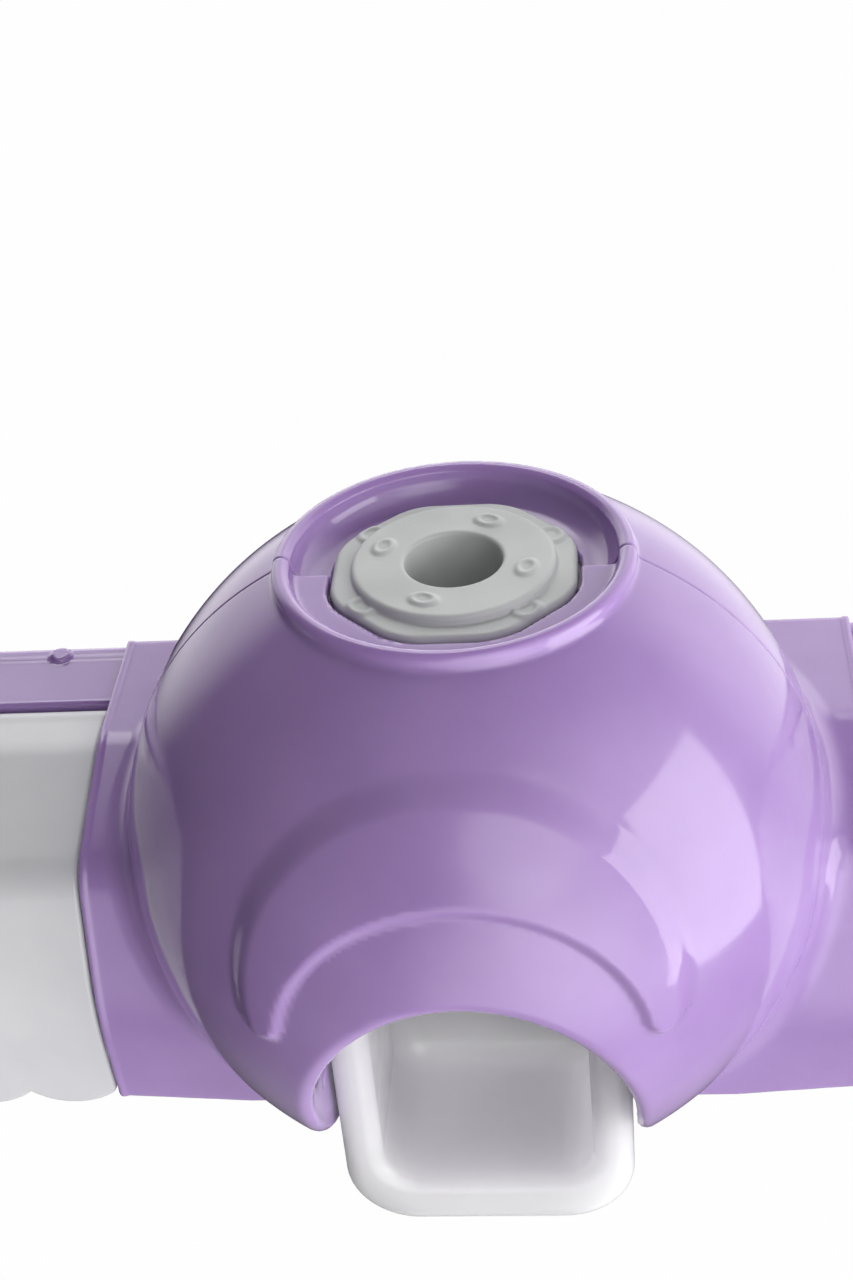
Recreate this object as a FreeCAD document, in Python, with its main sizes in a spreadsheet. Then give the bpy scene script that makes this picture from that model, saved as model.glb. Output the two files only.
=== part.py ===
import FreeCAD, Part
import math
import os
import re
import Sketcher
from FreeCAD import Rotation, Vector

# A wall dispenser: a ball-shaped body with a neck seal on top, a push cup in its mouth that works
# a small pump, and an arm on each side that holds brushes behind a hinged cover.
# Millimetres. +X is to the right, +Y goes into the wall, +Z is up. The origin is on the wall,
# level with the ball's centre.

SIZES = {
    # Ball and how it stands on the wall
    "ball_radius": 50.0,
    "ball_sink": 10.0,
    "ball_depth": "=ball_radius - ball_sink",
    "bottom_cut": 7.0,
    "ball_bottom": "=ball_radius - bottom_cut",
    "shell_wall": 3.0,
    "back_gap": 3.0,
    "back_wall": 2.5,
    "overrun": 30.0,
    "corner_match": 0.1,
    # Lip, floor and neck seal
    "lip_outer": 24.0,
    "lip_inner": 22.0,
    "lip_below": 4.2,
    "lip_top": "=ball_radius - lip_below",
    "floor_below": 7.8,
    "floor_top": "=ball_radius - floor_below",
    "floor_thick": 3.0,
    "seal_half": 16.4,
    "seal_gap": 0.2,
    "seal_foot": 4.2,
    "seal_disc_radius": 13.8,
    "seal_disc": 1.3,
    "seal_bore": 6.6,
    "seal_spigot_radius": 8.5,
    "seal_spigot": 4.0,
    "pip_long": 1.9,
    "pip_height": 0.55,
    "pip_circle": 10.2,
    # Crescent and mouth
    "crescent_rise": 1.3,
    "crescent_root": 1.0,
    "crescent_outer": 28.7,
    "crescent_outer_up": 6.0,
    "crescent_inner": 24.0,
    "crescent_inner_up": -1.8,
    "crescent_end_up": 1.8,
    "mouth_half": 21.6,
    "mouth_height": 28.3,
    "mouth_centre_down": 20.0,
    "sleeve_wall": 2.5,
    "sleeve_gap": 1.0,
    "cheek_back": 10.0,
    # Push cup
    "cup_gap": 0.5,
    "cup_out": 29.0,
    "cup_front": "=ball_depth + cup_out",
    "cup_depth": 28.0,
    "cup_back_wall": 2.0,
    "cup_rim": 5.8,
    "cup_sill": 8.8,
    "cup_top_down": 8.0,
    "cup_bottom_down": 54.0,
    "cup_round": 10.5,
    "cup_recess_round": 4.5,
    "cup_travel": 7.0,
    # Pump
    "pump_down_share": 0.44,
    "pump_down": "=pump_down_share*ball_radius",
    "barrel_in_share": 0.26,
    "barrel_front": "=ball_depth - barrel_in_share*ball_radius",
    "barrel_bore_share": 0.16,
    "barrel_bore": "=barrel_bore_share*ball_radius",
    "barrel_gap": 1.0,
    "barrel_wall": 2.5,
    "barrel_end": 2.0,
    "barrel_cap": 2.0,
    "rod_radius": 3.0,
    "rod_gap": 0.3,
    "piston_gap": 0.3,
    "piston_head": 4.0,
    "piston_set_back": 1.5,
    "ring_radius": 0.85,
    "ring_gap": 0.05,
    "passage": 3.5,
    "duct": 2.7,
    "passage_wall": 2.5,
    "manifold_half": 9.0,
    "manifold_out": 26.0,
    "manifold_front": "=ball_depth + manifold_out",
    "port_radius": 2.0,
    "port_set_back": 2.8,
    "tube_bore": 5.0,
    "tube_outer": 10.5,
    "seat_radius": 18.5,
    "seat_thick": 2.5,
    "pump_plate": 2.5,
    "pump_plate_half": 16.0,
    "pump_foot": 6.0,
    "valve_gap": 0.2,
    "valve_thick": 1.6,
    "nozzle_outer": 4.5,
    "nozzle_set_back": 5.0,
    "nozzle_bore": 2.2,
    "nozzle_length": 4.0,
    "nozzle_spigot": 3.0,
    "guide_radius": 1.8,
    "guide_fit": 0.05,
    "guide_grip": 3.0,
    "guide_hole_spare": 1.0,
    "guide_down": 14.0,
    "bridge_thick": 3.0,
    "bridge_height": 10.0,
    "spring_radius": 5.0,
    "spring_wire": 0.4,
    "spring_end_gap": 0.1,
    # Arms
    "arm_root_gap": 1.9,
    "arm_start": "=mouth_half + sleeve_wall + arm_root_gap",
    "collar_reach": 6.7,
    "arm_inner": "=ball_radius + collar_reach",
    "arm_top": 7.9,
    "arm_bottom": 41.0,
    "arm_wall": 2.5,
    "shoulder_depth": 28.5,
    "shoulder_round": 12.0,
    "brow_depth": 51.8,
    "belly_out": 5.6,
    "foot_out": 3.4,
    "arm_front": "=brow_depth + belly_out",
    "brow_drop": 6.5,
    "brow_round": 7.0,
    "belly_down": 22.0,
    "belly_round": 40.0,
    "foot_depth": "=brow_depth + foot_out",
    "strip_depth": 17.5,
    "strip_step": 1.6,
    "collar_gap": 0.15,
    "end_cap": 3.0,
    # Covers and their hinges
    "lobe_pitch": 13.4,
    "lobe_drop": 2.6,
    "lobe_root": 0.5,
    "cover_side_gap": 0.5,
    "cover_inset": 0.8,
    "cover_wall": 2.0,
    "cover_bottom": 40.2,
    "hinge_depth": 20.5,
    "hinge_drop": 4.3,
    "knuckle_radius": 2.6,
    "ear_radius": 2.3,
    "ear_width": 3.5,
    "ear_gap": 0.4,
    "ear_inset": 20.0,
    "notch_reach": 3.6,
    "pin_radius": 1.2,
    "pin_fit": 0.02,
    "pin_running": 0.05,
    # Brush racks
    "rack_down": 30.5,
    "rack_thick": 2.5,
    "rack_front": 51.0,
    "rack_end_gap": 0.4,
    "slot_half": 4.5,
    "slot_end": 27.0,
    # Wall plate, pad and fasteners
    "plate_thick": 2.0,
    "plate_width": 66.0,
    "plate_height": 34.0,
    "pad_thick": 1.0,
    "pad_margin": 3.0,
    "wall_screw_half": 24.0,
    "wall_screw_hole": 2.25,
    "wall_screw_head": 4.5,
    "post_radius": 3.5,
    "post_seat": 4.0,
    "screw_radius": 1.2,
    "screw_hole": 1.7,
    "screw_head_radius": 2.6,
    "screw_head": 2.0,
    "screw_bore": 3.0,
    "screw_length": 12.0,
    "screw_fit": 0.05,
    "upper_post_out": 22.0,
    "upper_post_up": 18.0,
    "lower_post_out": 30.0,
    "lower_post_up": -10.0,
    "arm_screw_depth": 22.0,
    "arm_screw_up": 13.0,
    "arm_screw_pitch": 12.0,
    "arm_screw_lower": "=arm_screw_up - ball_bottom",
    "arm_screw_upper": "=arm_screw_lower + arm_screw_pitch",
    "arm_boss": 4.0,
    "arm_boss_lift": 2.0,
    "pump_screw_out": 13.2,
    "pump_screw_down": 4.0,
    "pump_screw_bite": 2.0,
}

LOBES = 6
SLOTS = 3
SPRING_TURNS = 4
SEAL_SIDES = 8
# Turn of each pip about the neck axis, as a share of a full turn
PIP_TURN_SHARES = (0.955, 0.18, 0.445, 0.695)
PIP_WIDTH_SHARE = 0.7
QUARTERS = 4

ALONG = {
    "x": Rotation(Vector(0, 1, 0), 90),
    "y": Rotation(Vector(1, 0, 0), -90),
    "z": Rotation(),
}

doc = FreeCAD.newDocument("dispenser")
sheet = doc.addObject("Spreadsheet::Sheet", "Sizes")
for row, (alias, size) in enumerate(SIZES.items(), start=1):
    sheet.set(f"A{row}", alias)
    sheet.set(f"B{row}", str(size))
    sheet.setAlias(f"B{row}", alias)
doc.recompute()

nodes = []


def formula(text):
    """Spell a sum of size names as an expression on the sheet."""
    return re.sub(r"[a-z_]+", lambda word: f"Sizes.{word[0]}" if word[0] in SIZES else word[0], text)


def bind(thing, **sizes):
    for prop, text in sizes.items():
        thing.setExpression(prop, formula(text))
    return thing


def place(thing, x="0", y="0", z="0", turn=None):
    if turn is not None:
        thing.Placement = FreeCAD.Placement(Vector(), turn)
    for axis, text in zip("xyz", (x, y, z)):
        thing.setExpression(f"Placement.Base.{axis}", formula(text))
    return thing


def block(name, x, y, z):
    """A box between a low and a high bound on each axis."""
    thing = doc.addObject("Part::Box", name)
    for prop, (low, high) in zip(("Length", "Width", "Height"), (x, y, z)):
        thing.setExpression(prop, formula(f"({high}) - ({low})"))
    return place(thing, x[0], y[0], z[0])


def rod(name, along, radius, low, high, **at):
    """A cylinder along one axis, from low to high, with its line at the other two coordinates."""
    thing = bind(doc.addObject("Part::Cylinder", name), Radius=radius, Height=f"({high}) - ({low})")
    at[along] = low
    return place(thing, turn=ALONG[along], **at)


def ball(name, radius):
    thing = bind(doc.addObject("Part::Sphere", name), Radius=radius)
    return place(thing, y="-ball_depth")


def fuse(name, *parts):
    thing = doc.addObject("Part::MultiFuse", name)
    thing.Shapes = list(parts)
    return thing


def common(name, *parts):
    thing = doc.addObject("Part::MultiCommon", name)
    thing.Shapes = list(parts)
    return thing


def cut(name, base, *tools):
    thing = doc.addObject("Part::Cut", name)
    thing.Base = base
    thing.Tool = tools[0] if len(tools) == 1 else fuse(f"{name}_tools", *tools)
    return thing


def outline(body, name, plane, corners):
    """A closed sketch whose corners are held at bound distances from the body's origin."""
    sketch = body.newObject("Sketcher::SketchObject", name)
    support = next(item for item in body.Origin.OriginFeatures if item.Role == plane)
    sketch.AttachmentSupport = (support, [""])
    sketch.MapMode = "FlatFace"
    count = len(corners)
    starts = [Vector(math.cos(k * math.tau / count), math.sin(k * math.tau / count)) for k in range(count)]
    for k in range(count):
        sketch.addGeometry(Part.LineSegment(starts[k], starts[(k + 1) % count]), False)
    for k in range(count):
        sketch.addConstraint(Sketcher.Constraint("Coincident", k, 2, (k + 1) % count, 1))
    for k, corner in enumerate(corners):
        for kind, here, text in zip(("DistanceX", "DistanceY"), starts[k], corner):
            held = sketch.addConstraint(Sketcher.Constraint(kind, -1, 1, k, 1, here))
            sketch.setExpression(f"Constraints[{held}]", formula(text))
    return sketch


def prism(name, corners, low, high):
    """A bar along X with an outline in Y and Z; a corner's third entry is its round, if it has one."""
    body = doc.addObject("PartDesign::Body", name)
    sketch = outline(body, f"{name}_outline", "YZ_Plane", [corner[:2] for corner in corners])
    tip = body.newObject("PartDesign::Pad", f"{name}_pad")
    tip.Profile = sketch
    bind(tip, Length=f"({high}) - ({low})")
    doc.recompute()
    spots = [line.StartPoint for line in sketch.Geometry]
    for number, (spot, corner) in enumerate(zip(spots, corners)):
        if len(corner) == 2:
            continue
        edges = [
            f"Edge{k}"
            for k, edge in enumerate(tip.Shape.Edges, start=1)
            if all(math.hypot(v.Y - spot.x, v.Z - spot.y) < sheet.corner_match for v in edge.Vertexes)
        ]
        base, tip = tip, body.newObject("PartDesign::Fillet", f"{name}_round_{number}")
        tip.Base = (base, edges)
        bind(tip, Radius=corner[2])
        doc.recompute()
    return place(body, x=low)


def node(thing, label):
    """Name a finished sub-part; its file takes the same name."""
    thing.Label = label
    nodes.append(thing)
    return thing


def mirrored(source, label):
    """The same piece on the other side of the plane X = 0."""
    thing = doc.addObject("Part::Mirroring", label + "_mirror")
    thing.Source = source
    thing.Normal = Vector(1, 0, 0)
    return node(thing, label)


# Ball: one hollow form with its lip, floor, crescent and mouth, which the parting plane then splits.

outside = ball("ball_outside", "ball_radius")
hollow = ball("ball_hollow", "ball_radius - shell_wall")
wall = cut("ball_wall", outside, hollow)
lip_roll = "(lip_outer - lip_inner)/2"
lip_bar = rod(
    "lip_bar", "z", "lip_outer", "floor_top - floor_thick", f"lip_top - {lip_roll}", y="-ball_depth"
)
lip_round = bind(
    doc.addObject("Part::Torus", "lip_round"), Radius1=f"lip_outer - {lip_roll}", Radius2=lip_roll
)
place(lip_round, y="-ball_depth", z=f"lip_top - {lip_roll}")
lip_ball = ball("lip_ball", "ball_radius")
floor_disc = common(
    "floor_disc",
    lip_ball,
    rod("floor_slab", "z", "ball_radius", "floor_top - floor_thick", "floor_top", y="-ball_depth"),
)
dish = rod("lip_dish", "z", "lip_inner", "floor_top", "lip_top + overrun", y="-ball_depth")
seat_hole = bind(
    doc.addObject("Part::Prism", "seal_hole"),
    Circumradius=f"(seal_half + seal_gap)/cos(180/{SEAL_SIDES})",
    Height="floor_thick + 2*overrun",
)
seat_hole.Polygon = SEAL_SIDES
place(
    seat_hole, y="-ball_depth", z="floor_top - floor_thick - overrun",
    turn=Rotation(Vector(0, 0, 1), 180 / SEAL_SIDES),
)

crescent_face = cut(
    "crescent_face",
    rod("crescent_outside", "y", "crescent_outer", "-ball_depth - ball_radius - overrun", "-ball_depth",
        z="crescent_outer_up"),
    rod("crescent_inside", "y", "crescent_inner", "-ball_depth - ball_radius - 2*overrun",
        "-ball_depth + overrun", z="crescent_inner_up"),
    block("crescent_under", ("-ball_radius", "ball_radius"),
          ("-ball_depth - ball_radius - 2*overrun", "-ball_depth + overrun"),
          ("-ball_radius", "crescent_end_up")),
)
crescent_end = "(sqrt(crescent_outer^2 - (crescent_end_up - crescent_outer_up)^2) {} " \
    "sqrt(crescent_inner^2 - (crescent_end_up - crescent_inner_up)^2))/2"
crescent_tips = [
    rod(f"crescent_tip_{side}", "y", crescent_end.format("-"), "-ball_depth - ball_radius - overrun",
        "-ball_depth", x=f"{sign}*{crescent_end.format('+')}", z="crescent_end_up")
    for side, sign in (("left", "-1"), ("right", "1"))
]
crescent = common(
    "crescent",
    fuse("crescent_bar", crescent_face, *crescent_tips),
    cut("crescent_skin", ball("crescent_top", "ball_radius + crescent_rise"),
        ball("crescent_bottom", "ball_radius - crescent_root")),
)


def arch(name, grow, front, back):
    """A bar along Y with the mouth's outline: half an ellipse on two upright legs."""
    curve = bind(
        doc.addObject("Part::Ellipse", f"{name}_curve"), MajorRadius=f"mouth_height + {grow}",
        MinorRadius=f"mouth_half + {grow}",
    )
    place(curve, y=front, z="-mouth_centre_down",
          turn=Rotation(Vector(0, 0, 1), Vector(1, 0, 0), Vector(0, 1, 0), "XYZ"))
    bar = bind(doc.addObject("Part::Extrusion", f"{name}_bar"), LengthFwd=f"({back}) - ({front})")
    bar.Base = curve
    bar.DirMode = "Custom"
    bar.Dir = Vector(0, 1, 0)
    bar.Solid = True
    legs = block(f"{name}_legs", (f"-(mouth_half + {grow})", f"mouth_half + {grow}"), (front, back),
                 ("-2*ball_radius", "-mouth_centre_down"))
    return fuse(name, bar, legs)


mouth = arch("mouth", "0", "-ball_depth - ball_radius - overrun", "-ball_depth")
under = block(
    "ball_under", ("-2*ball_radius", "2*ball_radius"), ("-ball_depth - 2*ball_radius", "ball_radius"),
    ("-2*ball_radius", "-ball_bottom"),
)
sleeve = cut(
    "sleeve",
    common("sleeve_bar", ball("sleeve_ball", "ball_radius - shell_wall/2"),
           arch("sleeve_arch", "sleeve_wall", "-ball_depth - ball_radius", "-cup_front - sleeve_gap")),
    under,
)
cheeks = common(
    "cheeks",
    ball("cheek_ball", "ball_radius - shell_wall/2"),
    fuse("cheek_blocks", *(
        block(f"cheek_{side}", span, ("-ball_depth - ball_radius", "-ball_depth - cheek_back"),
              ("-ball_bottom", "-mouth_centre_down"))
        for side, span in (
            ("left", ("-mouth_half - sleeve_wall", "-mouth_half")),
            ("right", ("mouth_half", "mouth_half + sleeve_wall")),
        )
    )),
)
ball_form = cut(
    "ball_form", fuse("ball_solid", wall, lip_bar, lip_round, floor_disc, crescent), dish, seat_hole, under
)

# Posts that join the two halves of the ball, and the screws in them

POSTS = {
    "upper_left": ("-upper_post_out", "upper_post_up"),
    "upper_right": ("upper_post_out", "upper_post_up"),
    "lower_left": ("-lower_post_out", "lower_post_up"),
    "lower_right": ("lower_post_out", "lower_post_up"),
}
seat_plane = "-ball_depth + post_seat"
front_posts = common(
    "front_posts",
    ball("post_ball", "ball_radius - shell_wall/2"),
    fuse("front_post_bars", *(
        rod(f"front_post_{name}", "y", "post_radius", "-ball_depth - ball_radius", "-ball_depth", x=x, z=z)
        for name, (x, z) in POSTS.items()
    )),
)
pilots = [
    rod(f"pilot_{name}", "y", "screw_radius + screw_fit", "-ball_depth - screw_length", "-ball_depth",
        x=x, z=z)
    for name, (x, z) in POSTS.items()
]
front_half = common(
    "front_half",
    ball_form,
    block("front_space", ("-2*ball_radius", "2*ball_radius"), ("-ball_depth - 2*ball_radius", "-ball_depth"),
          ("-2*ball_radius", "2*ball_radius")),
)
node(
    cut("front_shell", fuse("front_form", front_half, front_posts, sleeve, cheeks), mouth, *pilots),
    "front_shell",
)

rear_half = common(
    "rear_half",
    ball_form,
    block("rear_space", ("-2*ball_radius", "2*ball_radius"), ("-ball_depth", "-back_gap"),
          ("-2*ball_radius", "2*ball_radius")),
)
back_disc = common(
    "back_disc",
    ball("back_ball", "ball_radius"),
    block("back_slab", ("-ball_radius", "ball_radius"), ("-back_gap - back_wall", "-back_gap"),
          ("-ball_bottom", "ball_radius")),
)
rear_posts = common(
    "rear_posts",
    ball("rear_post_ball", "ball_radius - shell_wall/2"),
    fuse("rear_post_bars", *(
        rod(f"rear_post_{name}", "y", "post_radius", "-ball_depth", "-back_gap - back_wall/2", x=x, z=z)
        for name, (x, z) in POSTS.items()
    )),
)
rear_holes = [
    rod(f"rear_hole_{name}", "y", "screw_hole", "-ball_depth", seat_plane, x=x, z=z)
    for name, (x, z) in POSTS.items()
]
rear_bores = [
    rod(f"rear_bore_{name}", "y", "screw_bore", seat_plane, "0", x=x, z=z) for name, (x, z) in POSTS.items()
]

# Arm screws go from inside the ball through flat pads into the collars' bosses.

ARM_SCREWS = {
    f"{side}_{level}": (sign, f"arm_screw_{level}")
    for side, sign in (("left", "-1"), ("right", "1"))
    for level in ("upper", "lower")
}
ARM_SCREW_TURN = {"-1": Rotation(Vector(0, 1, 0), -90), "1": Rotation(Vector(0, 1, 0), 90)}


def arm_seat(level):
    """Distance from the middle plane to the flat pad that an arm screw's head sits on."""
    inner = "(ball_radius - shell_wall)"
    return f"sqrt({inner}^2 - (ball_depth - arm_screw_depth)^2 - {level}^2) - arm_boss_lift"


def arm_rod(name, sign, level, radius, start, length):
    """A cylinder on an arm screw's line, pointing outwards from a distance off the middle plane."""
    thing = bind(doc.addObject("Part::Cylinder", name), Radius=radius, Height=length)
    return place(
        thing, x=f"{sign}*({start})", y="-arm_screw_depth", z=level, turn=ARM_SCREW_TURN[sign]
    )


arm_pads = common(
    "arm_pads",
    ball("arm_pad_ball", "ball_radius - shell_wall/2"),
    fuse("arm_pad_bars", *(
        arm_rod(f"arm_pad_{name}", sign, level, "arm_boss", arm_seat(level), "overrun")
        for name, (sign, level) in ARM_SCREWS.items()
    )),
)
arm_pad_holes = [
    arm_rod(f"arm_pad_hole_{name}", sign, level, "screw_hole", f"{arm_seat(level)} - overrun", "2*overrun")
    for name, (sign, level) in ARM_SCREWS.items()
]
arm_head_rooms = [
    arm_rod(f"arm_head_room_{name}", sign, level, "screw_bore", f"{arm_seat(level)} - 2*screw_head",
            "2*screw_head")
    for name, (sign, level) in ARM_SCREWS.items()
]
wall_head_holes = [
    rod(f"head_hole_{side}", "y", "wall_screw_head", "-back_gap - 2*back_wall", "0",
        x=f"{sign}*wall_screw_half")
    for side, sign in (("left", "-1"), ("right", "1"))
]
cup_back = "-cup_front + cup_depth"
cup_room = block(
    "cup_room", ("-mouth_half", "mouth_half"), ("-ball_depth", f"{cup_back} + cup_travel + sleeve_gap"),
    ("-ball_radius", "-cup_top_down"),
)
pump_plane = "-back_gap - back_wall"
PUMP_SCREWS = {"left": "-pump_screw_out", "right": "pump_screw_out"}
pump_pilots = [
    rod(f"pump_pilot_{side}", "y", "screw_radius + screw_fit", pump_plane, f"{pump_plane} + pump_screw_bite",
        x=x, z="-pump_screw_down")
    for side, x in PUMP_SCREWS.items()
]
node(
    cut("rear_shell", fuse("rear_form", rear_half, back_disc, rear_posts, arm_pads),
        *rear_holes, *rear_bores, *arm_pad_holes, *arm_head_rooms, *wall_head_holes, *pump_pilots, cup_room),
    "rear_shell",
)

# Neck seal: an octagonal foot in the floor's cut-out, a round disc with four oval pips, a spigot and a bore.

seal_bottom = "floor_top - floor_thick - seal_gap"
foot = bind(
    doc.addObject("Part::Prism", "seal_foot_bar"), Circumradius=f"seal_half/cos(180/{SEAL_SIDES})",
    Height="seal_foot",
)
foot.Polygon = SEAL_SIDES
place(foot, y="-ball_depth", z=seal_bottom, turn=Rotation(Vector(0, 0, 1), 180 / SEAL_SIDES))
seal_top = f"{seal_bottom} + seal_foot + seal_disc"
pips = []
for number, share in enumerate(PIP_TURN_SHARES):
    pip = bind(
        doc.addObject("Part::Ellipsoid", f"pip_{number}"), Radius1="pip_height", Radius2="pip_long",
        Radius3=f"pip_long*{PIP_WIDTH_SHARE}",
    )
    angle = share * math.tau
    place(
        pip, x=f"pip_circle*{math.cos(angle)}", y=f"-ball_depth + pip_circle*{math.sin(angle)}", z=seal_top,
        turn=Rotation(Vector(0, 0, 1), math.degrees(angle) + 90),
    )
    pips.append(pip)
node(
    cut(
        "neck_seal",
        fuse("seal_form", foot,
             rod("seal_disc_bar", "z", "seal_disc_radius", seal_bottom, seal_top, y="-ball_depth"),
             rod("seal_spigot_bar", "z", "seal_spigot_radius", f"{seal_bottom} - seal_spigot", seal_bottom,
                 y="-ball_depth"),
             *pips),
        rod("seal_bore_bar", "z", "seal_bore", f"{seal_bottom} - overrun", f"{seal_top} + overrun",
            y="-ball_depth"),
    ),
    "neck_seal",
)

# Pump: inlet tube from the seal, a passage above the cup, and a barrel behind the cup.

guide_x = "(mouth_half - cup_gap - cup_rim/2)"
plate_plane = f"{pump_plane} - pump_plate"
manifold_low = "-passage - passage_wall"
manifold_high = "passage + passage_wall"
barrel_outer = "barrel_bore + barrel_wall"
barrel_room = "(ball_radius - shell_wall - barrel_gap)"
barrel_back = f"(-ball_depth + sqrt({barrel_room}^2 - (pump_down + {barrel_outer})^2))"
barrel_floor = f"{barrel_back} - barrel_end"
port_y = f"{barrel_floor} - port_set_back"
nozzle_y = "-manifold_front + nozzle_set_back"
spigot_floor = f"{seal_bottom} - seal_spigot - seal_gap"
pump_form = fuse(
    "pump_form",
    rod("inlet_tube", "z", "tube_outer", "0", seal_bottom, y="-ball_depth"),
    rod("inlet_seat", "z", "seat_radius", f"{seal_bottom} - seat_thick", seal_bottom, y="-ball_depth"),
    block("manifold", ("-manifold_half", "manifold_half"), ("-manifold_front", plate_plane),
          (manifold_low, manifold_high)),
    rod("barrel", "y", barrel_outer, "-barrel_front", barrel_back, z="-pump_down"),
    block("barrel_web", ("-passage", "passage"), (port_y, barrel_back), ("-pump_down", "0")),
    rod("port_neck", "z", "port_radius + barrel_wall", "-pump_down", "0", y=port_y),
    block("bridge", ("-mouth_half + cup_gap", "mouth_half - cup_gap"),
          ("-barrel_front", "-barrel_front + bridge_thick"),
          ("-guide_down - bridge_height/2", "-guide_down + bridge_height/2")),
    block("pump_back", ("-pump_plate_half", "pump_plate_half"), (plate_plane, pump_plane),
          ("-pump_screw_down - pump_foot", manifold_high)),
)
node(
    cut(
        "pump_body", pump_form,
        rod("inlet_bore", "z", "tube_bore", manifold_high, f"{seal_bottom} + overrun", y="-ball_depth"),
        rod("inlet_mouth", "z", "seal_spigot_radius + seal_gap", spigot_floor, f"{seal_bottom} + overrun",
            y="-ball_depth"),
        rod("inlet_drop", "z", "passage", "0", manifold_high, y="-ball_depth"),
        rod("passage_bore", "y", "duct", nozzle_y, port_y, z="0"),
        rod("outlet_bore", "z", "passage", manifold_low, "0", y=nozzle_y),
        rod("port_bore", "z", "port_radius", "-pump_down", "0", y=port_y),
        rod("barrel_hollow", "y", "barrel_bore", "-barrel_front", barrel_floor, z="-pump_down"),
        *(rod(f"pump_hole_{side}", "y", "screw_radius + screw_fit", plate_plane, pump_plane, x=x,
              z="-pump_screw_down") for side, x in PUMP_SCREWS.items()),
        *(rod(f"bridge_hole_{side}", "y", "guide_radius", "-barrel_front", "-barrel_front + bridge_thick",
              x=f"{sign}*{guide_x}", z="-guide_down")
          for side, sign in (("left", "-1"), ("right", "1"))),
    ),
    "pump_body",
)
node(
    cut("barrel_cap_disc",
        rod("barrel_cap_bar", "y", barrel_outer, "-barrel_front - barrel_cap", "-barrel_front",
            z="-pump_down"),
        rod("barrel_cap_hole", "y", "rod_radius + rod_gap", "-barrel_front - overrun",
            "-barrel_front + overrun", z="-pump_down")),
    "barrel_cap",
)
inlet_flap = bind(
    doc.addObject("Part::Cone", "inlet_flap"), Radius1="tube_bore - valve_gap",
    Radius2="passage - passage_wall", Height="2*valve_thick",
)
place(inlet_flap, y="-ball_depth", z=f"{manifold_high} + valve_thick")
node(
    fuse("inlet_valve", inlet_flap,
         rod("inlet_disc", "z", "tube_bore - valve_gap", manifold_high, f"{manifold_high} + valve_thick",
             y="-ball_depth")),
    "inlet_valve",
)
nozzle_top = f"{manifold_low} + nozzle_spigot"
node(
    cut("outlet_nozzle",
        fuse("nozzle_form",
             rod("nozzle_tip", "z", "nozzle_outer", f"{manifold_low} - nozzle_length", manifold_low,
                 y=nozzle_y),
             rod("nozzle_neck", "z", "passage - screw_fit", manifold_low, nozzle_top, y=nozzle_y)),
        rod("nozzle_hole", "z", "nozzle_bore", f"{manifold_low} - overrun", f"{nozzle_top} + overrun",
            y=nozzle_y)),
    "outlet_nozzle",
)
node(
    rod("outlet_valve", "z", "passage - valve_gap", nozzle_top, f"{nozzle_top} + valve_thick", y=nozzle_y),
    "outlet_valve",
)

# Push cup: a scoop with a thick rim, open at the front and the top, sliding on two rods.

cup_half = "(mouth_half - cup_gap)"
cup_floor = f"{cup_back} - cup_back_wall"


def scoop(name, half, low, front, back, corner):
    """A block with its two lower long edges rounded, up to the cup's top."""
    corners_down = f"-{low} + {corner}"
    pieces = [
        block(f"{name}_upper", (f"-{half}", half), (front, back), (corners_down, "-cup_top_down")),
        block(f"{name}_keel", (f"-({half} - {corner})", f"{half} - {corner}"), (front, back),
              (f"-{low}", "-cup_top_down")),
    ]
    pieces += [
        rod(f"{name}_corner_{side}", "y", corner, front, back, x=f"{sign}*({half} - {corner})",
            z=corners_down)
        for side, sign in (("left", "-1"), ("right", "1"))
    ]
    return fuse(f"{name}_scoop", *pieces)


recess = fuse(
    "cup_recess",
    scoop("recess", f"({cup_half} - cup_rim)", "(cup_bottom_down - cup_sill)", "-cup_front - overrun",
          cup_floor, "cup_recess_round"),
    block("recess_top", (f"-({cup_half} - cup_rim)", f"{cup_half} - cup_rim"),
          ("-cup_front - overrun", cup_floor), ("-cup_top_down - cup_rim", "overrun")),
)
guide_tip = f"{cup_back} - guide_grip"
cup_guide_holes = [
    rod(f"cup_guide_hole_{side}", "y", "guide_radius + guide_fit",
        f"{guide_tip} - cup_travel - guide_hole_spare", cup_back,
        x=f"{sign}*{guide_x}", z="-guide_down")
    for side, sign in (("left", "-1"), ("right", "1"))
]
node(
    cut("push_cup",
        scoop("cup", cup_half, "cup_bottom_down", "-cup_front", cup_back, "cup_round"),
        recess, *cup_guide_holes),
    "push_cup",
)
node(
    fuse("guide_rods", *(
        rod(f"guide_rod_{side}", "y", "guide_radius", guide_tip, "-barrel_front + bridge_thick",
            x=f"{sign}*{guide_x}", z="-guide_down")
        for side, sign in (("left", "-1"), ("right", "1"))
    )),
    "guide_rods",
)

head_front = "-barrel_front + piston_set_back"
head_back = f"{head_front} + piston_head"
head_middle = f"{head_front} + piston_head/2"
ring_middle = "barrel_bore - ring_gap - ring_radius"
groove_floor = f"{ring_middle} - ring_radius - ring_gap"
groove = cut(
    "piston_groove",
    rod("groove_outside", "y", "barrel_bore + overrun", f"{head_middle} - ring_radius - ring_gap",
        f"{head_middle} + ring_radius + ring_gap", z="-pump_down"),
    rod("groove_inside", "y", groove_floor, head_front, head_back, z="-pump_down"),
)
node(
    cut("piston",
        fuse("piston_form",
             rod("piston_rod", "y", "rod_radius", cup_back, head_middle, z="-pump_down"),
             rod("piston_crown", "y", "barrel_bore - piston_gap", head_front, head_back, z="-pump_down")),
        groove),
    "piston",
)
ring = bind(doc.addObject("Part::Torus", "piston_ring"), Radius1=ring_middle, Radius2="ring_radius")
node(place(ring, y=head_middle, z="-pump_down", turn=ALONG["y"]), "piston_ring")

# Return spring: one wire on a helix between the cup and the barrel's cap, as quarter-turn biarcs.


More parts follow.
